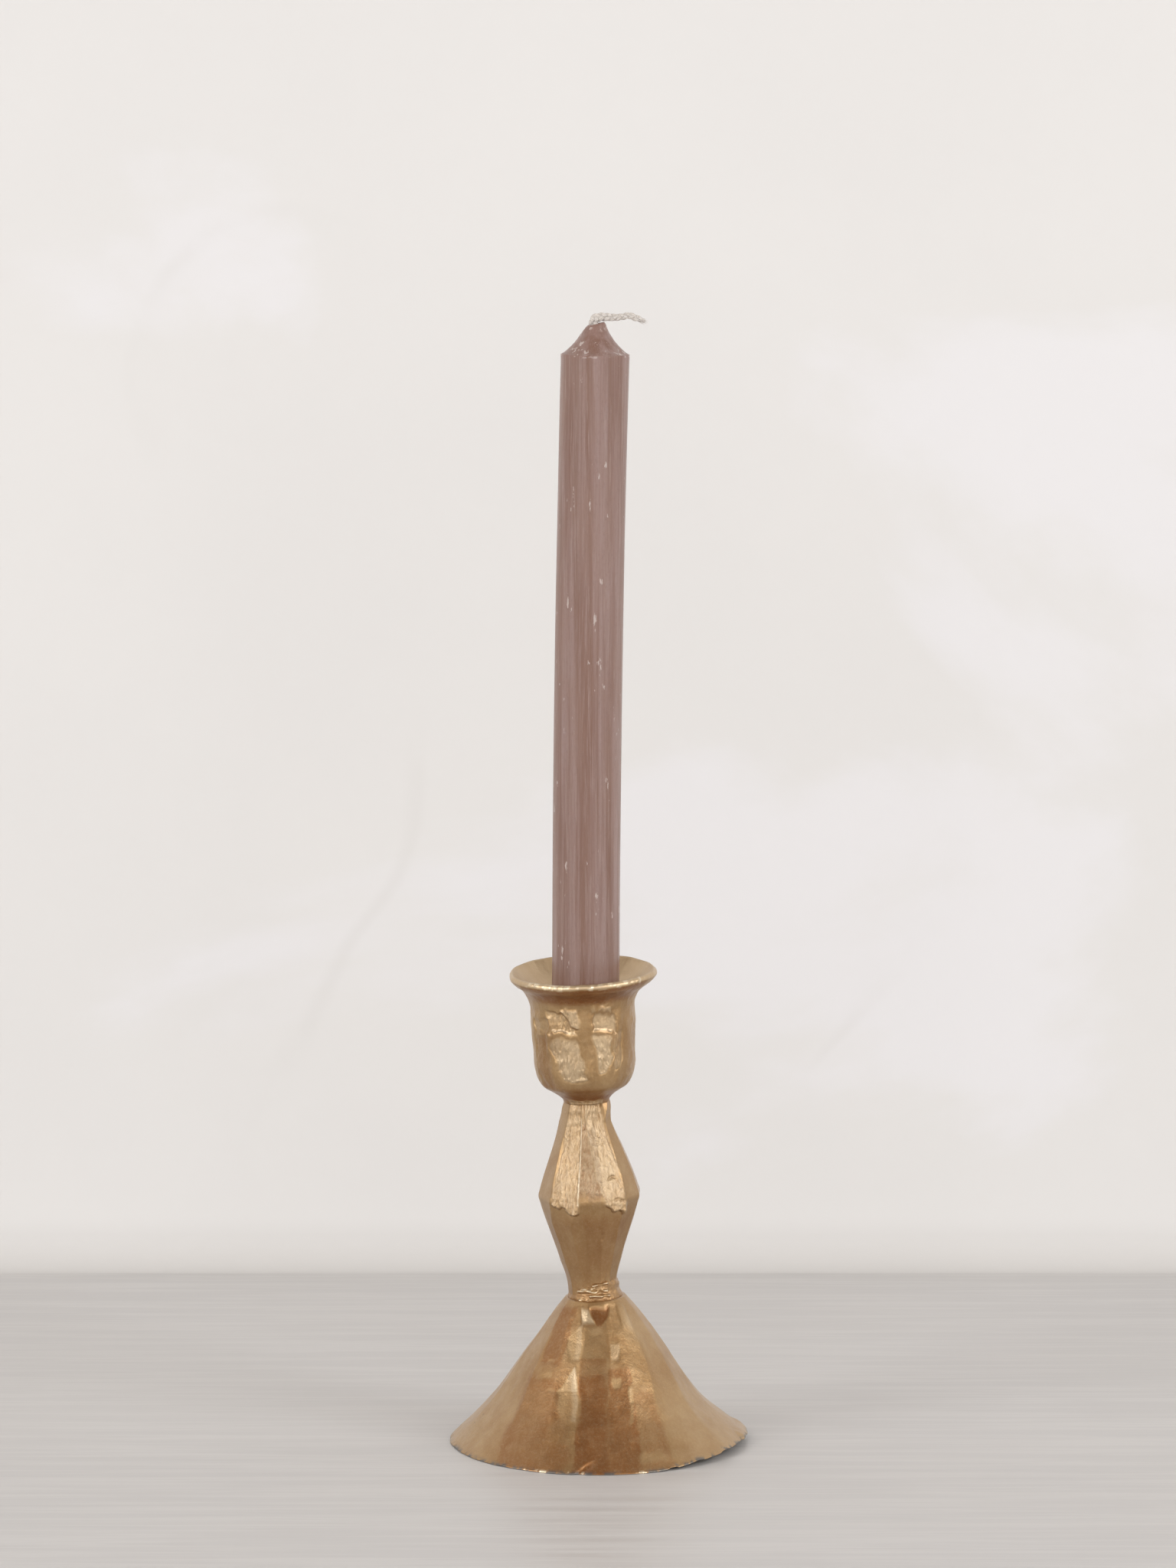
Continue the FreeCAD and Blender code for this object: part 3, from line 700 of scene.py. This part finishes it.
# over the lip, down the dish, the bore and its floor, and back to the start
on_lip = turned(lip_radius, 0.0, side)
chewed = 0.16 * noise(on_lip, 1.3, 69) * in_range(side, -60, 60, 12)
lip_outer = radius[-1:] + np.array([[0.24], [0.16], [-0.20], [-0.8]]) + chewed
lip_height = under_lip + np.array([[0.6], [1.25], [1.75], [2.0]])
dish = np.linspace(0, 1, 34)[1:, None]
dish_radius = lip_outer[-1:] + (SOCKET_RADIUS - lip_outer[-1:]) * dish
dish_height = lip_height[-1:] + (SOCKET_MOUTH - lip_height[-1:]) * dish ** 0.78
bore_height = SOCKET_MOUTH + (SOCKET_FLOOR - SOCKET_MOUTH) * np.linspace(0, 1, 14)[1:, None]
bore_radius = SOCKET_RADIUS + 0 * bore_height
floor_radius = np.array([9.0, HEAD_ROOM_RADIUS, HEAD_ROOM_RADIUS, BOLT_HOLE, BOLT_HOLE])[:, None]
head_seat = SOCKET_FLOOR - HEAD_ROOM_DEPTH
floor_height = np.array([SOCKET_FLOOR, SOCKET_FLOOR, head_seat, head_seat, 0.0])[:, None]
under_radius = BOLT_HOLE + (radius[:1] - BOLT_HOLE) * 0.6
radii = [radius, lip_outer, dish_radius, bore_radius, floor_radius, under_radius]
heights = [tall, lip_height, dish_height, bore_height, floor_height, [[0.0]]]
cup_radius, cup_height = (np.concatenate([rows + 0 * side for rows in column]) for column in (radii, heights))
bend = smooth_step(17.0, 23.5, cup_radius) * smooth_step(30.0, 37.0, cup_height)
lip_wave = 0.35 * noise(on_lip, 13, 57) + 0.12 * noise(on_lip, 4, 58)
cup_height = cup_height + bend * (lip_wave - 1.25 * np.cos(side))
cup_radius = cup_radius + bend * 0.35 * noise(on_lip, 15, 59)
cup_local = turned(cup_radius, cup_height + stem_length, side)

# the lip's edge is rubbed pale, most at the front, where it is also painted highlight; ledges that face up get
# a painted highlight
outer = len(radius)
edge = np.zeros_like(cup_radius)
edge[outer - 1:outer + 4] = np.array([0.5, 1.0, 1.0, 1.0, 0.6])[:, None]
beads = noise(cup_local, (1.5, 1.5, 0.9), 61) + 0.7 * noise(cup_local, (0.75, 0.75, 0.6), 62)
edge *= (0.25 + 0.75 * smooth_step(-0.1, 0.6, beads)) * (0.15 + 0.85 * in_range(side, -50, 54, 10))
ledge = np.zeros_like(cup_radius)
ledge[1:outer] = np.clip(np.diff(push, axis=0) / np.diff(tall, axis=0) * -1.2, 0, 1)
wear = np.clip(0.85 * edge + 0.45 * ledge, 0, 1)
# the whole inside gets a pale tone, a painted highlight that brightens the dish and bore
tone = np.concatenate([tone, np.full_like(cup_radius[outer:], 0.72)])
cup = build("cup_gouged", [on_foot.place(cup_local)], bare=0, wear=wear, grain=grain, tone=tone)

# %% [markdown]
# ## The candle
#
# A candle is never a perfect cylinder. It bends a little as it cools, it has
# faint flutes along its length, and its tip is squeezed into a hollow cone. The
# flutes are too shallow to see as shapes, but they break up the long highlight,
# and that is what makes wax look like wax.

# %% The wax
WAX_COLUMNS = 240
WAX_RADIUS = 10.85
WICK_HOLE = 1.2
BOW = -0.6  # the candle's middle stands this far out of line, in millimetres
TIP_HEIGHT = 9.8
TIP_OUTLINE = (
    (10.95, 0.0), (9.7, 0.75), (8.3, 2.0), (6.3, 4.2), (4.6, 6.6), (3.6, 8.3), (3.05, 9.4), (2.7, TIP_HEIGHT),
)
IN_CUP = 34  # how much of the candle the cup hides
wax_length = ((cad_points("candle_wax") - in_socket.origin) @ in_socket.z).max()
shoulder = wax_length - TIP_HEIGHT

side = round_angles(WAX_COLUMNS)
near_shoulder = shoulder + np.array([-0.8, -0.6, -0.45, -0.3, -0.15, -0.05])
body_height = np.concatenate([np.linspace(0.6, shoulder - 1.0, 230), near_shoulder])[:, None]
body = WAX_RADIUS + 0.05 * smooth_step(shoulder - 3, shoulder, body_height)
tip_height = np.linspace(0, TIP_HEIGHT, 34)[:, None]
rows = np.concatenate([[[10.3]], body, outline(TIP_OUTLINE, tip_height)])
tall = np.concatenate([[[0.0]], body_height, shoulder + tip_height])
flutes = 0.055 * rough(turned(WAX_RADIUS, 0.0, side), 5.0, 71)
drift = 0.05 * noise(turned(WAX_RADIUS, tall, side), (9, 9, 45), 75)
on_body = smooth_step(0, 2, tall) * np.clip(rows / WAX_RADIUS, 0, 1)
lumps = 0.10 * rough(turned(rows, tall, side), 2.4, 77, 2) * smooth_step(shoulder, shoulder + 2, tall)
scuffs = rough(turned(rows, tall, side), (1.6, 1.6, 1.2), 79)
shoulder_edge = np.exp(-((tall - shoulder + 0.25) / 0.28) ** 2)
radius = rows + on_body * (flutes + drift) + lumps - 0.12 * shoulder_edge * smooth_step(0.1, 0.6, scuffs)
crater_radius = np.array([2.1, 1.6, WICK_HOLE, WICK_HOLE, WICK_HOLE])[:, None] + 0 * side
crater_height = np.array([wax_length - 0.1, wax_length - 0.5, wax_length - 1.0, wax_length / 2, 0.0])[:, None]
height = np.concatenate([tall, crater_height]) + 0 * side
height = height + 0.6 * smooth_step(wax_length - 2.5, wax_length, height) * np.sin(side)
wax_local = turned(np.concatenate([radius, crater_radius]), height, side)
above_cup = np.clip((height - IN_CUP) / (shoulder - IN_CUP), 0, 1)
wax_local[..., 0] += BOW * 4 * above_cup * (1 - above_cup)
at_crater = smooth_step(wax_length - 3.5, wax_length - 0.6, height[:-5])
rubbed = shoulder_edge * smooth_step(-0.1, 0.5, scuffs) + at_crater * smooth_step(0.35, 0.75, scuffs)
at_tip = smooth_step(shoulder, shoulder + 0.6, height)
wax = build("candle_wax_fluted", [in_socket.place(wax_local)], scuff=rubbed, tip=at_tip)

# %% [markdown]
# ## The wick
#
# Candle wick is a flat braid of cotton. Each of three yarns swings from side to
# side once per turn and up and down twice, a third of a turn after the one
# before. Lobed, twisted sections make the yarns look spun. At the cut end they
# part, and a few loose fibres stand out. A bevelled curve would give plain round
# cords, so the tubes are worked out point by point.

# %% Yarns along the wick's folded line
WICK_LINE = np.array((
    (0.0, 0.0, 232.0), (0.0, 0.0, 234.0), (-0.1, 0.0, 236.0), (-0.45, 0.0, 238.0), (-0.75, -0.05, 239.5),
    (-0.1, -0.15, 240.75), (1.66, -0.2, 241.2), (4.1, -0.2, 241.2), (6.5, -0.1, 241.15), (9.0, 0.0, 241.5),
    (10.7, 0.1, 241.8), (13.1, 0.1, 240.9), (15.6, 0.0, 240.1),
))
YARN_RADIUS = 0.74
BRAID_PITCH = 5.8
LOBES = (20, 5, 0.35)  # columns, lobes, and turn from ring to ring


def along(points, count):
    """Evenly spaced points on a Catmull-Rom curve through the given points."""
    padded = np.concatenate([2 * points[:1] - points[1:2], points, 2 * points[-1:] - points[-2:-1]])
    t = np.linspace(0, 1, 24, endpoint=False)[:, None]
    spans = []
    for a, b, c, d in zip(padded, padded[1:], padded[2:], padded[3:]):
        spans.append(b + 0.5 * t * (c - a + t * (2 * a - 5 * b + 4 * c - d + t * (3 * (b - c) + d - a))))
    dense = np.concatenate(spans + [points[-1:]])
    run = np.concatenate([[0], np.cumsum(np.linalg.norm(np.diff(dense, axis=0), axis=1))])
    even = np.linspace(0, run[-1], count)
    return np.stack([np.interp(even, run, dense[:, k]) for k in range(3)], axis=1), run[-1]


def tube(centre, radius, columns, lobes=0, twist=0.0):
    """A closed tube round a line: each section is a circle, or a lobed one that turns as it goes."""
    tangent = np.gradient(centre, axis=0)
    tangent /= np.linalg.norm(tangent, axis=1)[:, None]
    across = np.cross(tangent, (0.0, 1.0, 0.0))
    across /= np.linalg.norm(across, axis=1)[:, None]
    beside = np.cross(tangent, across)
    turn = round_angles(columns)
    step = np.arange(len(centre))[:, None]
    size = np.broadcast_to(np.asarray(radius, float).reshape(-1, 1), (len(centre), 1))
    size = size * (1 + 0.14 * (np.cos(lobes * turn + twist * step) if lobes else 0 * turn))
    size[0] = size[-1] = 0
    ring = np.cos(turn)[..., None] * across[:, None] + np.sin(turn)[..., None] * beside[:, None]
    return centre[:, None] + size[..., None] * ring


free, free_length = along(WICK_LINE, 260)
share = np.linspace(0, 1, len(free))
tangent = np.gradient(free, axis=0)
tangent /= np.linalg.norm(tangent, axis=1)[:, None]
upward = np.cross(tangent, (0.0, 1.0, 0.0))
sideways = np.array([0.0, 1.0, 0.0])
thin = 1 - 0.27 * smooth_step(0.35, 0.75, share)
grids = []
for strand in range(3):
    phase = 2 * np.pi * (share * free_length / BRAID_PITCH + strand / 3)
    part = smooth_step(0.86, 1.0, share) * (strand - 1)
    swing = (0.70 * np.sin(phase) * thin + 0.45 * part)[:, None]
    depth = (0.42 * np.sin(2 * phase) * thin + 0.25 * part)[:, None]
    middle = free + swing * upward + depth * sideways
    stop = len(middle) - (0, 7, 3)[strand]
    grids.append(tube(middle[:stop], (YARN_RADIUS * thin)[:stop], *LOBES))
fibres = np.random.default_rng(5)
for number in range(16):
    start = free[-1] + fibres.normal(0, 0.4, 3) - np.array([1.2, 0, 0])
    reach = np.array([fibres.uniform(1.0, 2.2), fibres.normal(0, 0.5), fibres.normal(-0.1, 0.55)])
    curl = fibres.normal(0, 0.25, 3)
    t = np.linspace(0, 1, 9)[:, None]
    grids.append(tube(start + reach * t + curl * t * t, 0.07 * (1 - 0.5 * t), 6))
core_height = np.linspace(0.0, WICK_LINE[0, 2] + 1.5, 40)
core = np.stack([0 * core_height, 0 * core_height, core_height], axis=1)
grids.append(tube(core, 1.1, *LOBES))
wick = build("wick_braided", [in_socket.place(grid) for grid in grids], ring=False)
print("wick: %.0f mm in the wax and %.0f mm braided" % (core_height[-1], free_length))

# %% [markdown]
# ## Shader arithmetic
#
# A long network of nodes is hard to read when it is wired link by link. Two
# small classes turn it into arithmetic: a `Wire` is a number on its way through
# the network, and an expression on wires adds the Math nodes by itself.

# %% Wires and paints
class Wire:
    """A value on its way through a material; arithmetic on it adds Math nodes."""

    def __init__(self, paint, socket):
        self.paint, self.socket = paint, socket

    def math(self, operation, first, second=0.0):
        return self.paint.node("Math", {"operation": operation}, {0: first, 1: second})

    def __add__(self, other):
        return self.math("ADD", self, other)

    def __mul__(self, other):
        return self.math("MULTIPLY", self, other)

    def __sub__(self, other):
        return self.math("SUBTRACT", self, other)

    def __rsub__(self, other):
        return self.math("SUBTRACT", other, self)

    __radd__ = __add__
    __rmul__ = __mul__


class Paint:
    """A material with a Principled shader, and short ways to add the nodes that feed it."""

    def __init__(self, name):
        self.material = bpy.data.materials.new(name)
        self.material.use_nodes = True
        self.tree = self.material.node_tree
        self.shader = self.tree.nodes["Principled BSDF"]

    def node(self, kind, settings=None, values=None, output=0):
        """Any node: its settings first, then the values or wires of its input sockets."""
        made = self.tree.nodes.new("ShaderNode" + kind)
        for name, value in (settings or {}).items():
            setattr(made, name, value)
        self.feed(made, values or {})
        return Wire(self, made.outputs[output])

    def feed(self, node, values):
        """Wires are linked to the named sockets, and other values set on them."""
        for name, value in values.items():
            if isinstance(value, Wire):
                self.tree.links.new(value.socket, node.inputs[name])
            else:
                node.inputs[name].default_value = value

    def mark(self, name):
        """A number stored at the mesh's points."""
        return self.node("Attribute", {"attribute_name": name}, output=2)

    def texture(self, scale, detail=2, roughness=0.5, stretch=(1, 1, 1), turn=(0, 0, 0), distortion=0):
        """Noise on the piece's own coordinates; a stretch below 1 draws it out along an axis."""
        here = self.node("TexCoord", output=3)
        mapped = self.node("Mapping", {}, {"Vector": here, "Scale": stretch, "Rotation": turn})
        values = {"Scale": scale, "Detail": detail, "Roughness": roughness, "Distortion": distortion}
        return self.node("TexNoise", {}, {"Vector": mapped, **values})

    def sharpen(self, wire, low, high):
        """0 below low, 1 above high, eased between."""
        settings = {"interpolation_type": "SMOOTHSTEP"}
        return self.node("MapRange", settings, {"Value": wire, "From Min": low, "From Max": high})

    def blend(self, share, first, second):
        """From the first colour to the second as share goes from 0 to 1."""
        first, second = (value if isinstance(value, Wire) else (*value, 1) for value in (first, second))
        return self.node("Mix", {"data_type": "RGBA"}, {0: share, 6: first, 7: second}, 2)

    def glaze(self, colour, *coats):
        """Thin coats over a colour: each a wire, its low and high, how much it covers, and its colour."""
        for wire, low, high, cover, coat in coats:
            colour = self.blend(self.sharpen(wire, low, high) * cover, colour, coat)
        return colour

    def bump(self, height, strength, distance, **under):
        """A normal bent by a height; under may give the Normal it bends."""
        return self.node("Bump", {}, {"Height": height, "Strength": strength, "Distance": distance, **under})

    def on(self, piece):
        """The piece gets this paint in every material slot that it has, or in a new one."""
        slots = piece.data.materials
        if not len(slots):
            slots.append(self.material)
        for number in range(len(slots)):
            slots[number] = self.material


# %% [markdown]
# ## Gold paint on iron
#
# The finish is bronze powder in varnish, brushed on by hand. Each flake is a
# tiny mirror, so the paint is metallic but never sharp. The tone mark paints
# light and shade into it: deeper and redder as painted shade, paler as painted
# highlight. Where hands rub it the flakes lie flat and shine pale, and the same
# pale colour paints highlights on ledges, crests and edges. On the foot's cut
# rim no paint is left, and the sheet's own grey shows; the same grey paints
# shade under the rim and on the stem's middle facet.

# %% The antique gold finish
STEM_TURN = (0, -math.asin(on_foot.z[0]), 0)
gold = Paint("antique_gold")
patches = gold.texture(55, 4, 0.6)
speckle = gold.texture(1100, 4, 0.75)
speck = gold.texture(330, 1, 0.4)
smear = gold.texture(160, 4, 0.65)
strokes = gold.texture(1100, 3, 0.6, (1, 1, 0.3), STEM_TURN)
smudges = gold.texture(260, 5, 0.7, (1, 1, 0.5), STEM_TURN)
worn_and_highlit = gold.sharpen(gold.mark("wear"), 0.1, 0.9)
grain = gold.mark("grain")
tone = gold.mark("tone")
colour = gold.blend(gold.sharpen(patches, 0.32, 0.68), (0.385, 0.222, 0.090), (0.465, 0.300, 0.142))
# tone below zero is painted shade, deep and red; above zero it is painted highlight, pale; specks, smudges,
# flakes and file strokes are the paint's own
colour = gold.glaze(
    colour,
    (tone * -1.0, 0.0, 1.1, 1.0, (0.30, 0.125, 0.036)),
    (tone, 0.0, 1.2, 1.0, (0.70, 0.55, 0.36)),
    (speck, 0.80, 0.84, 0.7, (0.10, 0.07, 0.05)),
    (smudges, 0.40, 0.75, 0.20, (0.60, 0.43, 0.24)),
    (speckle, 0.45, 0.75, 0.22, (0.66, 0.50, 0.30)),
    (strokes, 0.30, 0.70, grain * 0.40, (0.72, 0.56, 0.37)),
    (strokes, 0.55, 0.35, grain * 0.14, (0.26, 0.14, 0.06)),
)
# pale of rubbed paint, and painted highlight on ledges, crests, the arris and the lip's front
colour = gold.blend(worn_and_highlit * 0.85, colour, (0.95, 0.82, 0.60))
# grey of bare metal, and painted shade under the foot's rim and on the stem's middle facet
colour = gold.blend(gold.mark("bare"), colour, (0.155, 0.145, 0.135))
flakes = gold.bump(speckle, 0.35, 0.0003)
lumps = gold.bump(smudges, 0.35, 0.0006, Normal=flakes)
gold.feed(gold.shader, {
    "Base Color": colour,
    "Metallic": 0.92,
    "Roughness": 0.345 + gold.sharpen(smear, 0.3, 0.7) * 0.14 + grain * 0.05 - worn_and_highlit * 0.10,
    "Normal": gold.bump(strokes * grain, 0.75, 0.0006, Normal=lumps),
    "Coat Weight": 0.5,
    "Coat Roughness": 0.33,
})
for piece, node in ((foot, "foot"), (stem, "stem"), (bead, "foot_bead"), (cup, "cup")):
    gold.on(piece)
    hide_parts(node)
    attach(piece, "stick")
print("gold on", len(gold.tree.nodes), "nodes of shader")

# %% [markdown]
# ## Wax
#
# The wax is dyed through, so its colour lies deep and light soaks a little way
# in before it comes back. Long faint streaks run the candle's whole length,
# where the dye settled unevenly. Small pale scuffs show where it was handled.

# %% Dyed wax with streaks and scuffs
CANDLE_TURN = (0, -math.asin(in_socket.z[0]), 0)
mauve = Paint("mauve_wax")
bands = mauve.texture(300, 4, 0.6, (1, 1, 0.02), CANDLE_TURN, 0.3)
threads = mauve.texture(1500, 4, 0.7, (1, 1, 0.035), CANDLE_TURN)
grit = mauve.texture(1500, 4, 0.75, (1, 1, 0.35), CANDLE_TURN)
cloud = mauve.texture(90, 5, 0.6, (1, 1, 0.25), CANDLE_TURN)
ticks = mauve.texture(620, 3, 0.6, (1, 1, 0.30), CANDLE_TURN)
rubs = mauve.texture(130, 2, 0.5, (1, 1, 0.55), CANDLE_TURN)
tip_mark = mauve.mark("tip")
chalk = mauve.sharpen(ticks * 0.8 + rubs * 0.35 + tip_mark * 0.075, 0.735, 0.785)
pale = mauve.sharpen(mauve.mark("scuff"), 0.05, 0.9) * mauve.sharpen(grit, 0.35, 0.6)
colour = mauve.blend(mauve.sharpen(bands, 0.38, 0.62), (0.228, 0.125, 0.094), (0.325, 0.220, 0.200))
colour = mauve.glaze(
    colour,
    (cloud, 0.42, 0.66, 0.45, (0.285, 0.175, 0.136)),
    (threads, 0.48, 0.70, 0.50, (0.39, 0.285, 0.26)),
    (grit, 0.45, 0.75, 0.30, (0.20, 0.11, 0.085)),
    (cloud, 0.30, 0.62, tip_mark * 0.45, (0.235, 0.125, 0.095)),
)
colour = mauve.blend(chalk * 0.75, colour, (0.62, 0.53, 0.50))
colour = mauve.blend(pale * 0.8, colour, (0.66, 0.57, 0.54))
mauve.feed(mauve.shader, {
    "Base Color": colour,
    "Roughness": 0.36 + mauve.sharpen(cloud, 0.3, 0.7) * 0.14 + pale * 0.2,
    "Normal": mauve.bump(threads * 0.5 + grit * 0.4 + chalk * 0.5, 0.5, 0.00025),
    "Subsurface Weight": 0.25,
    "Subsurface Radius": (0.0022, 0.0013, 0.0010),
    "Subsurface Scale": 1.0,
    "Coat Weight": 0.3,
    "Coat Roughness": 0.25,
})
mauve.on(wax)
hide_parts("candle_wax")
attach(wax, "candle")

# %% [markdown]
# ## Cotton
#
# The wick is raw cotton dipped in wax: off-white, matt, with fine fibres along
# each yarn and a few patches of wax.

# %% Waxed cotton yarn
cotton = Paint("waxed_cotton")
fibre = cotton.texture(3200, 4, 0.7, (0.35, 1, 1))
stain = cotton.sharpen(cotton.texture(300), 0.5, 0.8)
colour = cotton.blend(cotton.sharpen(fibre, 0.3, 0.7), (0.47, 0.425, 0.385), (0.84, 0.80, 0.76))
colour = cotton.blend(stain * 0.3, colour, (0.64, 0.56, 0.52))
cotton.feed(cotton.shader, {
    "Base Color": colour,
    "Roughness": 0.75 - stain * 0.2,
    "Normal": cotton.bump(fibre, 0.6, 0.0002),
    "Sheen Weight": 0.3,
    "Subsurface Weight": 0.15,
    "Subsurface Radius": (0.001, 0.0009, 0.0007),
    "Subsurface Scale": 1.0,
})
cotton.on(wick)
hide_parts("wick")
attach(wick, "candle")

# %% [markdown]
# ## Zinc
#
# The screw, washers and nut hold the stick together and are seen only from
# below. Their CAD shapes are right as they are, so they only get the look of
# zinc plate: grey, faintly mottled, with fine turning marks.

# %% Zinc plate on the fasteners
zinc = Paint("zinc_plate")
crystals = zinc.texture(420, 3, 0.6)
rings = zinc.texture(1800, 2, 0.5, (0.15, 1, 1))
zinc.feed(zinc.shader, {
    "Base Color": zinc.blend(zinc.sharpen(crystals, 0.35, 0.65), (0.42, 0.43, 0.44), (0.66, 0.66, 0.64)),
    "Metallic": 0.95,
    "Roughness": 0.30 + zinc.sharpen(crystals, 0.3, 0.7) * 0.18,
    "Normal": zinc.bump(rings, 0.3, 0.0002),
})
for node in ("tie_screw", "foot_washer", "spring_washer", "foot_nut"):
    zinc.on(nodes[node])

# %% [markdown]
# ## The studio
#
# A table runs up to a plastered wall. Both are clear when seen from the other
# side, so that the back can be looked at too. Metal shows its surroundings more
# than its own colour, so the lights are placed for their reflections first. Two
# tall ones stand front left and front right, and the dark gap between them draws
# the dark band down the foot, which the foot's panels also paint darker as shade.

# %% Table and wall
REACH = 6.0
WALL_Y = 0.266
COVE = 0.012
SPANS = 8


def swept_sheet(name, profile):
    """A sheet across the whole width of the set: the profile's (y, z) points, carried along x."""
    profile = np.array(profile, float)
    across = np.linspace(-REACH, REACH, SPANS + 1)
    points = np.stack([np.tile(across, len(profile)), *np.repeat(profile, SPANS + 1, axis=0).T], axis=1)
    first = (np.arange(len(profile) - 1)[:, None] * (SPANS + 1) + np.arange(SPANS)[None, :]).ravel()
    faces = np.stack([first, first + 1, first + SPANS + 2, first + SPANS + 1], axis=1)
    mesh = bpy.data.meshes.new(name)
    mesh.from_pydata(points.tolist(), [], faces.tolist())
    mesh.polygons.foreach_set("use_smooth", np.ones(len(faces), bool))
    sheet = add_object(name, mesh)
    return sheet


turn = np.radians(np.linspace(0, 90, 13))
cove = np.stack([WALL_Y - COVE + COVE * np.sin(turn), COVE - COVE * np.cos(turn)], axis=1)
table = swept_sheet("table", [(-REACH, 0), (WALL_Y - COVE, 0)])
wall = swept_sheet("wall", [*cove, (WALL_Y, 0.1), (WALL_Y, 0.5), (WALL_Y, REACH)])

plaster = Paint("plaster")
height = plaster.node("SeparateXYZ", {}, {0: plaster.node("TexCoord", output=3)}, 2)
trowel = plaster.texture(7, 5, 0.55)
damp = plaster.texture(4.2, 6, 0.5, (0.8, 1, 1.2), distortion=0.4)
sweep = plaster.texture(2.6, 3, 0.4, (1, 1, 0.7), (0, 0.5, 0), 0.8)
ridge = plaster.sharpen(sweep.math("ABSOLUTE", sweep - 0.5), 0.006, 0.0) * plaster.sharpen(trowel, 0.50, 0.62)
tint = plaster.blend(plaster.sharpen(trowel, 0.35, 0.7) * 0.5, (0.795, 0.79, 0.787), (0.825, 0.82, 0.815))
tint = plaster.blend(plaster.sharpen(damp, 0.58, 0.66) * 0.55, tint, (0.86, 0.86, 0.90))
tint = plaster.blend(ridge * 0.25, tint, (0.72, 0.71, 0.70))
tint = plaster.blend(plaster.sharpen(height, 0.0, 0.02), (0.66, 0.65, 0.64), tint)
relief = plaster.bump(trowel + ridge * 0.3, 0.15, 0.004)
plaster.feed(plaster.shader, {"Base Color": tint, "Roughness": 0.9, "Normal": relief})

board = Paint("pale_board")
fibres = board.texture(160, 4, 0.6, (0.05, 1, 1))
hairs = board.texture(900, 3, 0.6, (0.03, 1, 1))
blotch = board.texture(6, 3)
tone = board.blend(board.sharpen(fibres, 0.38, 0.62) * 0.8, (0.56, 0.55, 0.545), (0.65, 0.64, 0.632))
tone = board.glaze(
    tone,
    (blotch, 0.35, 0.70, 0.30, (0.62, 0.605, 0.59)),
    (hairs, 0.45, 0.70, 0.35, (0.52, 0.51, 0.50)),
)
gloss = 0.34 + board.sharpen(fibres, 0.35, 0.65) * 0.12
board.feed(board.shader, {"Base Color": tone, "Roughness": gloss, "Specular IOR Level": 0.40})
from_middle = board.node("VectorMath", {"operation": "LENGTH"}, {0: board.node("TexCoord", output=3)}, 1)
under_foot = board.sharpen(from_middle, 0.031, 0.030)  # a window under the foot lets light reach its inside
for sheet, paint, window in ((table, board, under_foot), (wall, plaster, 0.0)):
    facing_away = paint.node("NewGeometry", output=6)
    surface = Wire(paint, paint.shader.outputs[0])
    seen = paint.node("MixShader", {}, {0: facing_away + window, 1: surface, 2: paint.node("BsdfTransparent")})
    paint.feed(paint.tree.nodes["Material Output"], {"Surface": seen})
    paint.on(sheet)

# %% Lights and the room's own tone
def soft_box(name, place, size, power):
    """A rectangular light at a place, turned to face the middle of the candlestick."""
    data = bpy.data.lights.new(name, "AREA")
    data.shape = "RECTANGLE"
    data.size, data.size_y = size
    data.energy = power
    light = add_object(name, data)
    light.location = place
    gaze = Vector((0, 0, 0.15)) - Vector(place)
    light.rotation_euler = gaze.to_track_quat("-Z", "Y").to_euler()


soft_box("window_left", (-1.75, -1.15, 0.98), (0.9, 1.2), 19)
soft_box("window_right", (1.70, -1.10, 0.98), (0.9, 1.2), 19)
soft_box("room_front", (0.0, -2.6, 0.95), (2.8, 1.2), 17)

room = bpy.data.worlds.new("room")
room.use_nodes = True
background = room.node_tree.nodes["Background"]
background.inputs["Color"].default_value = (1.0, 0.89, 0.79, 1)
background.inputs["Strength"].default_value = 0.40
bpy.context.scene.world = room

# %% [markdown]
# ## The camera
#
# A long lens from nearly two metres keeps the stick's sides parallel. The
# camera stands a little above the cup and looks slightly down, so the lip shows
# as a thin ellipse.

# %% Camera
LOOKS_DOWN = 7.71  # degrees
lens = bpy.data.cameras.new("camera")
lens.sensor_width = 36
lens.lens = 140.36
lens.clip_start = 0.05
lens.clip_end = 40
camera = add_object("camera", lens)
camera.location = (-0.003, -1.95, 0.48)
camera.rotation_euler = (math.radians(90 - LOOKS_DOWN), 0, 0)
bpy.context.scene.camera = camera
bpy.context.scene.view_settings.view_transform = "Standard"
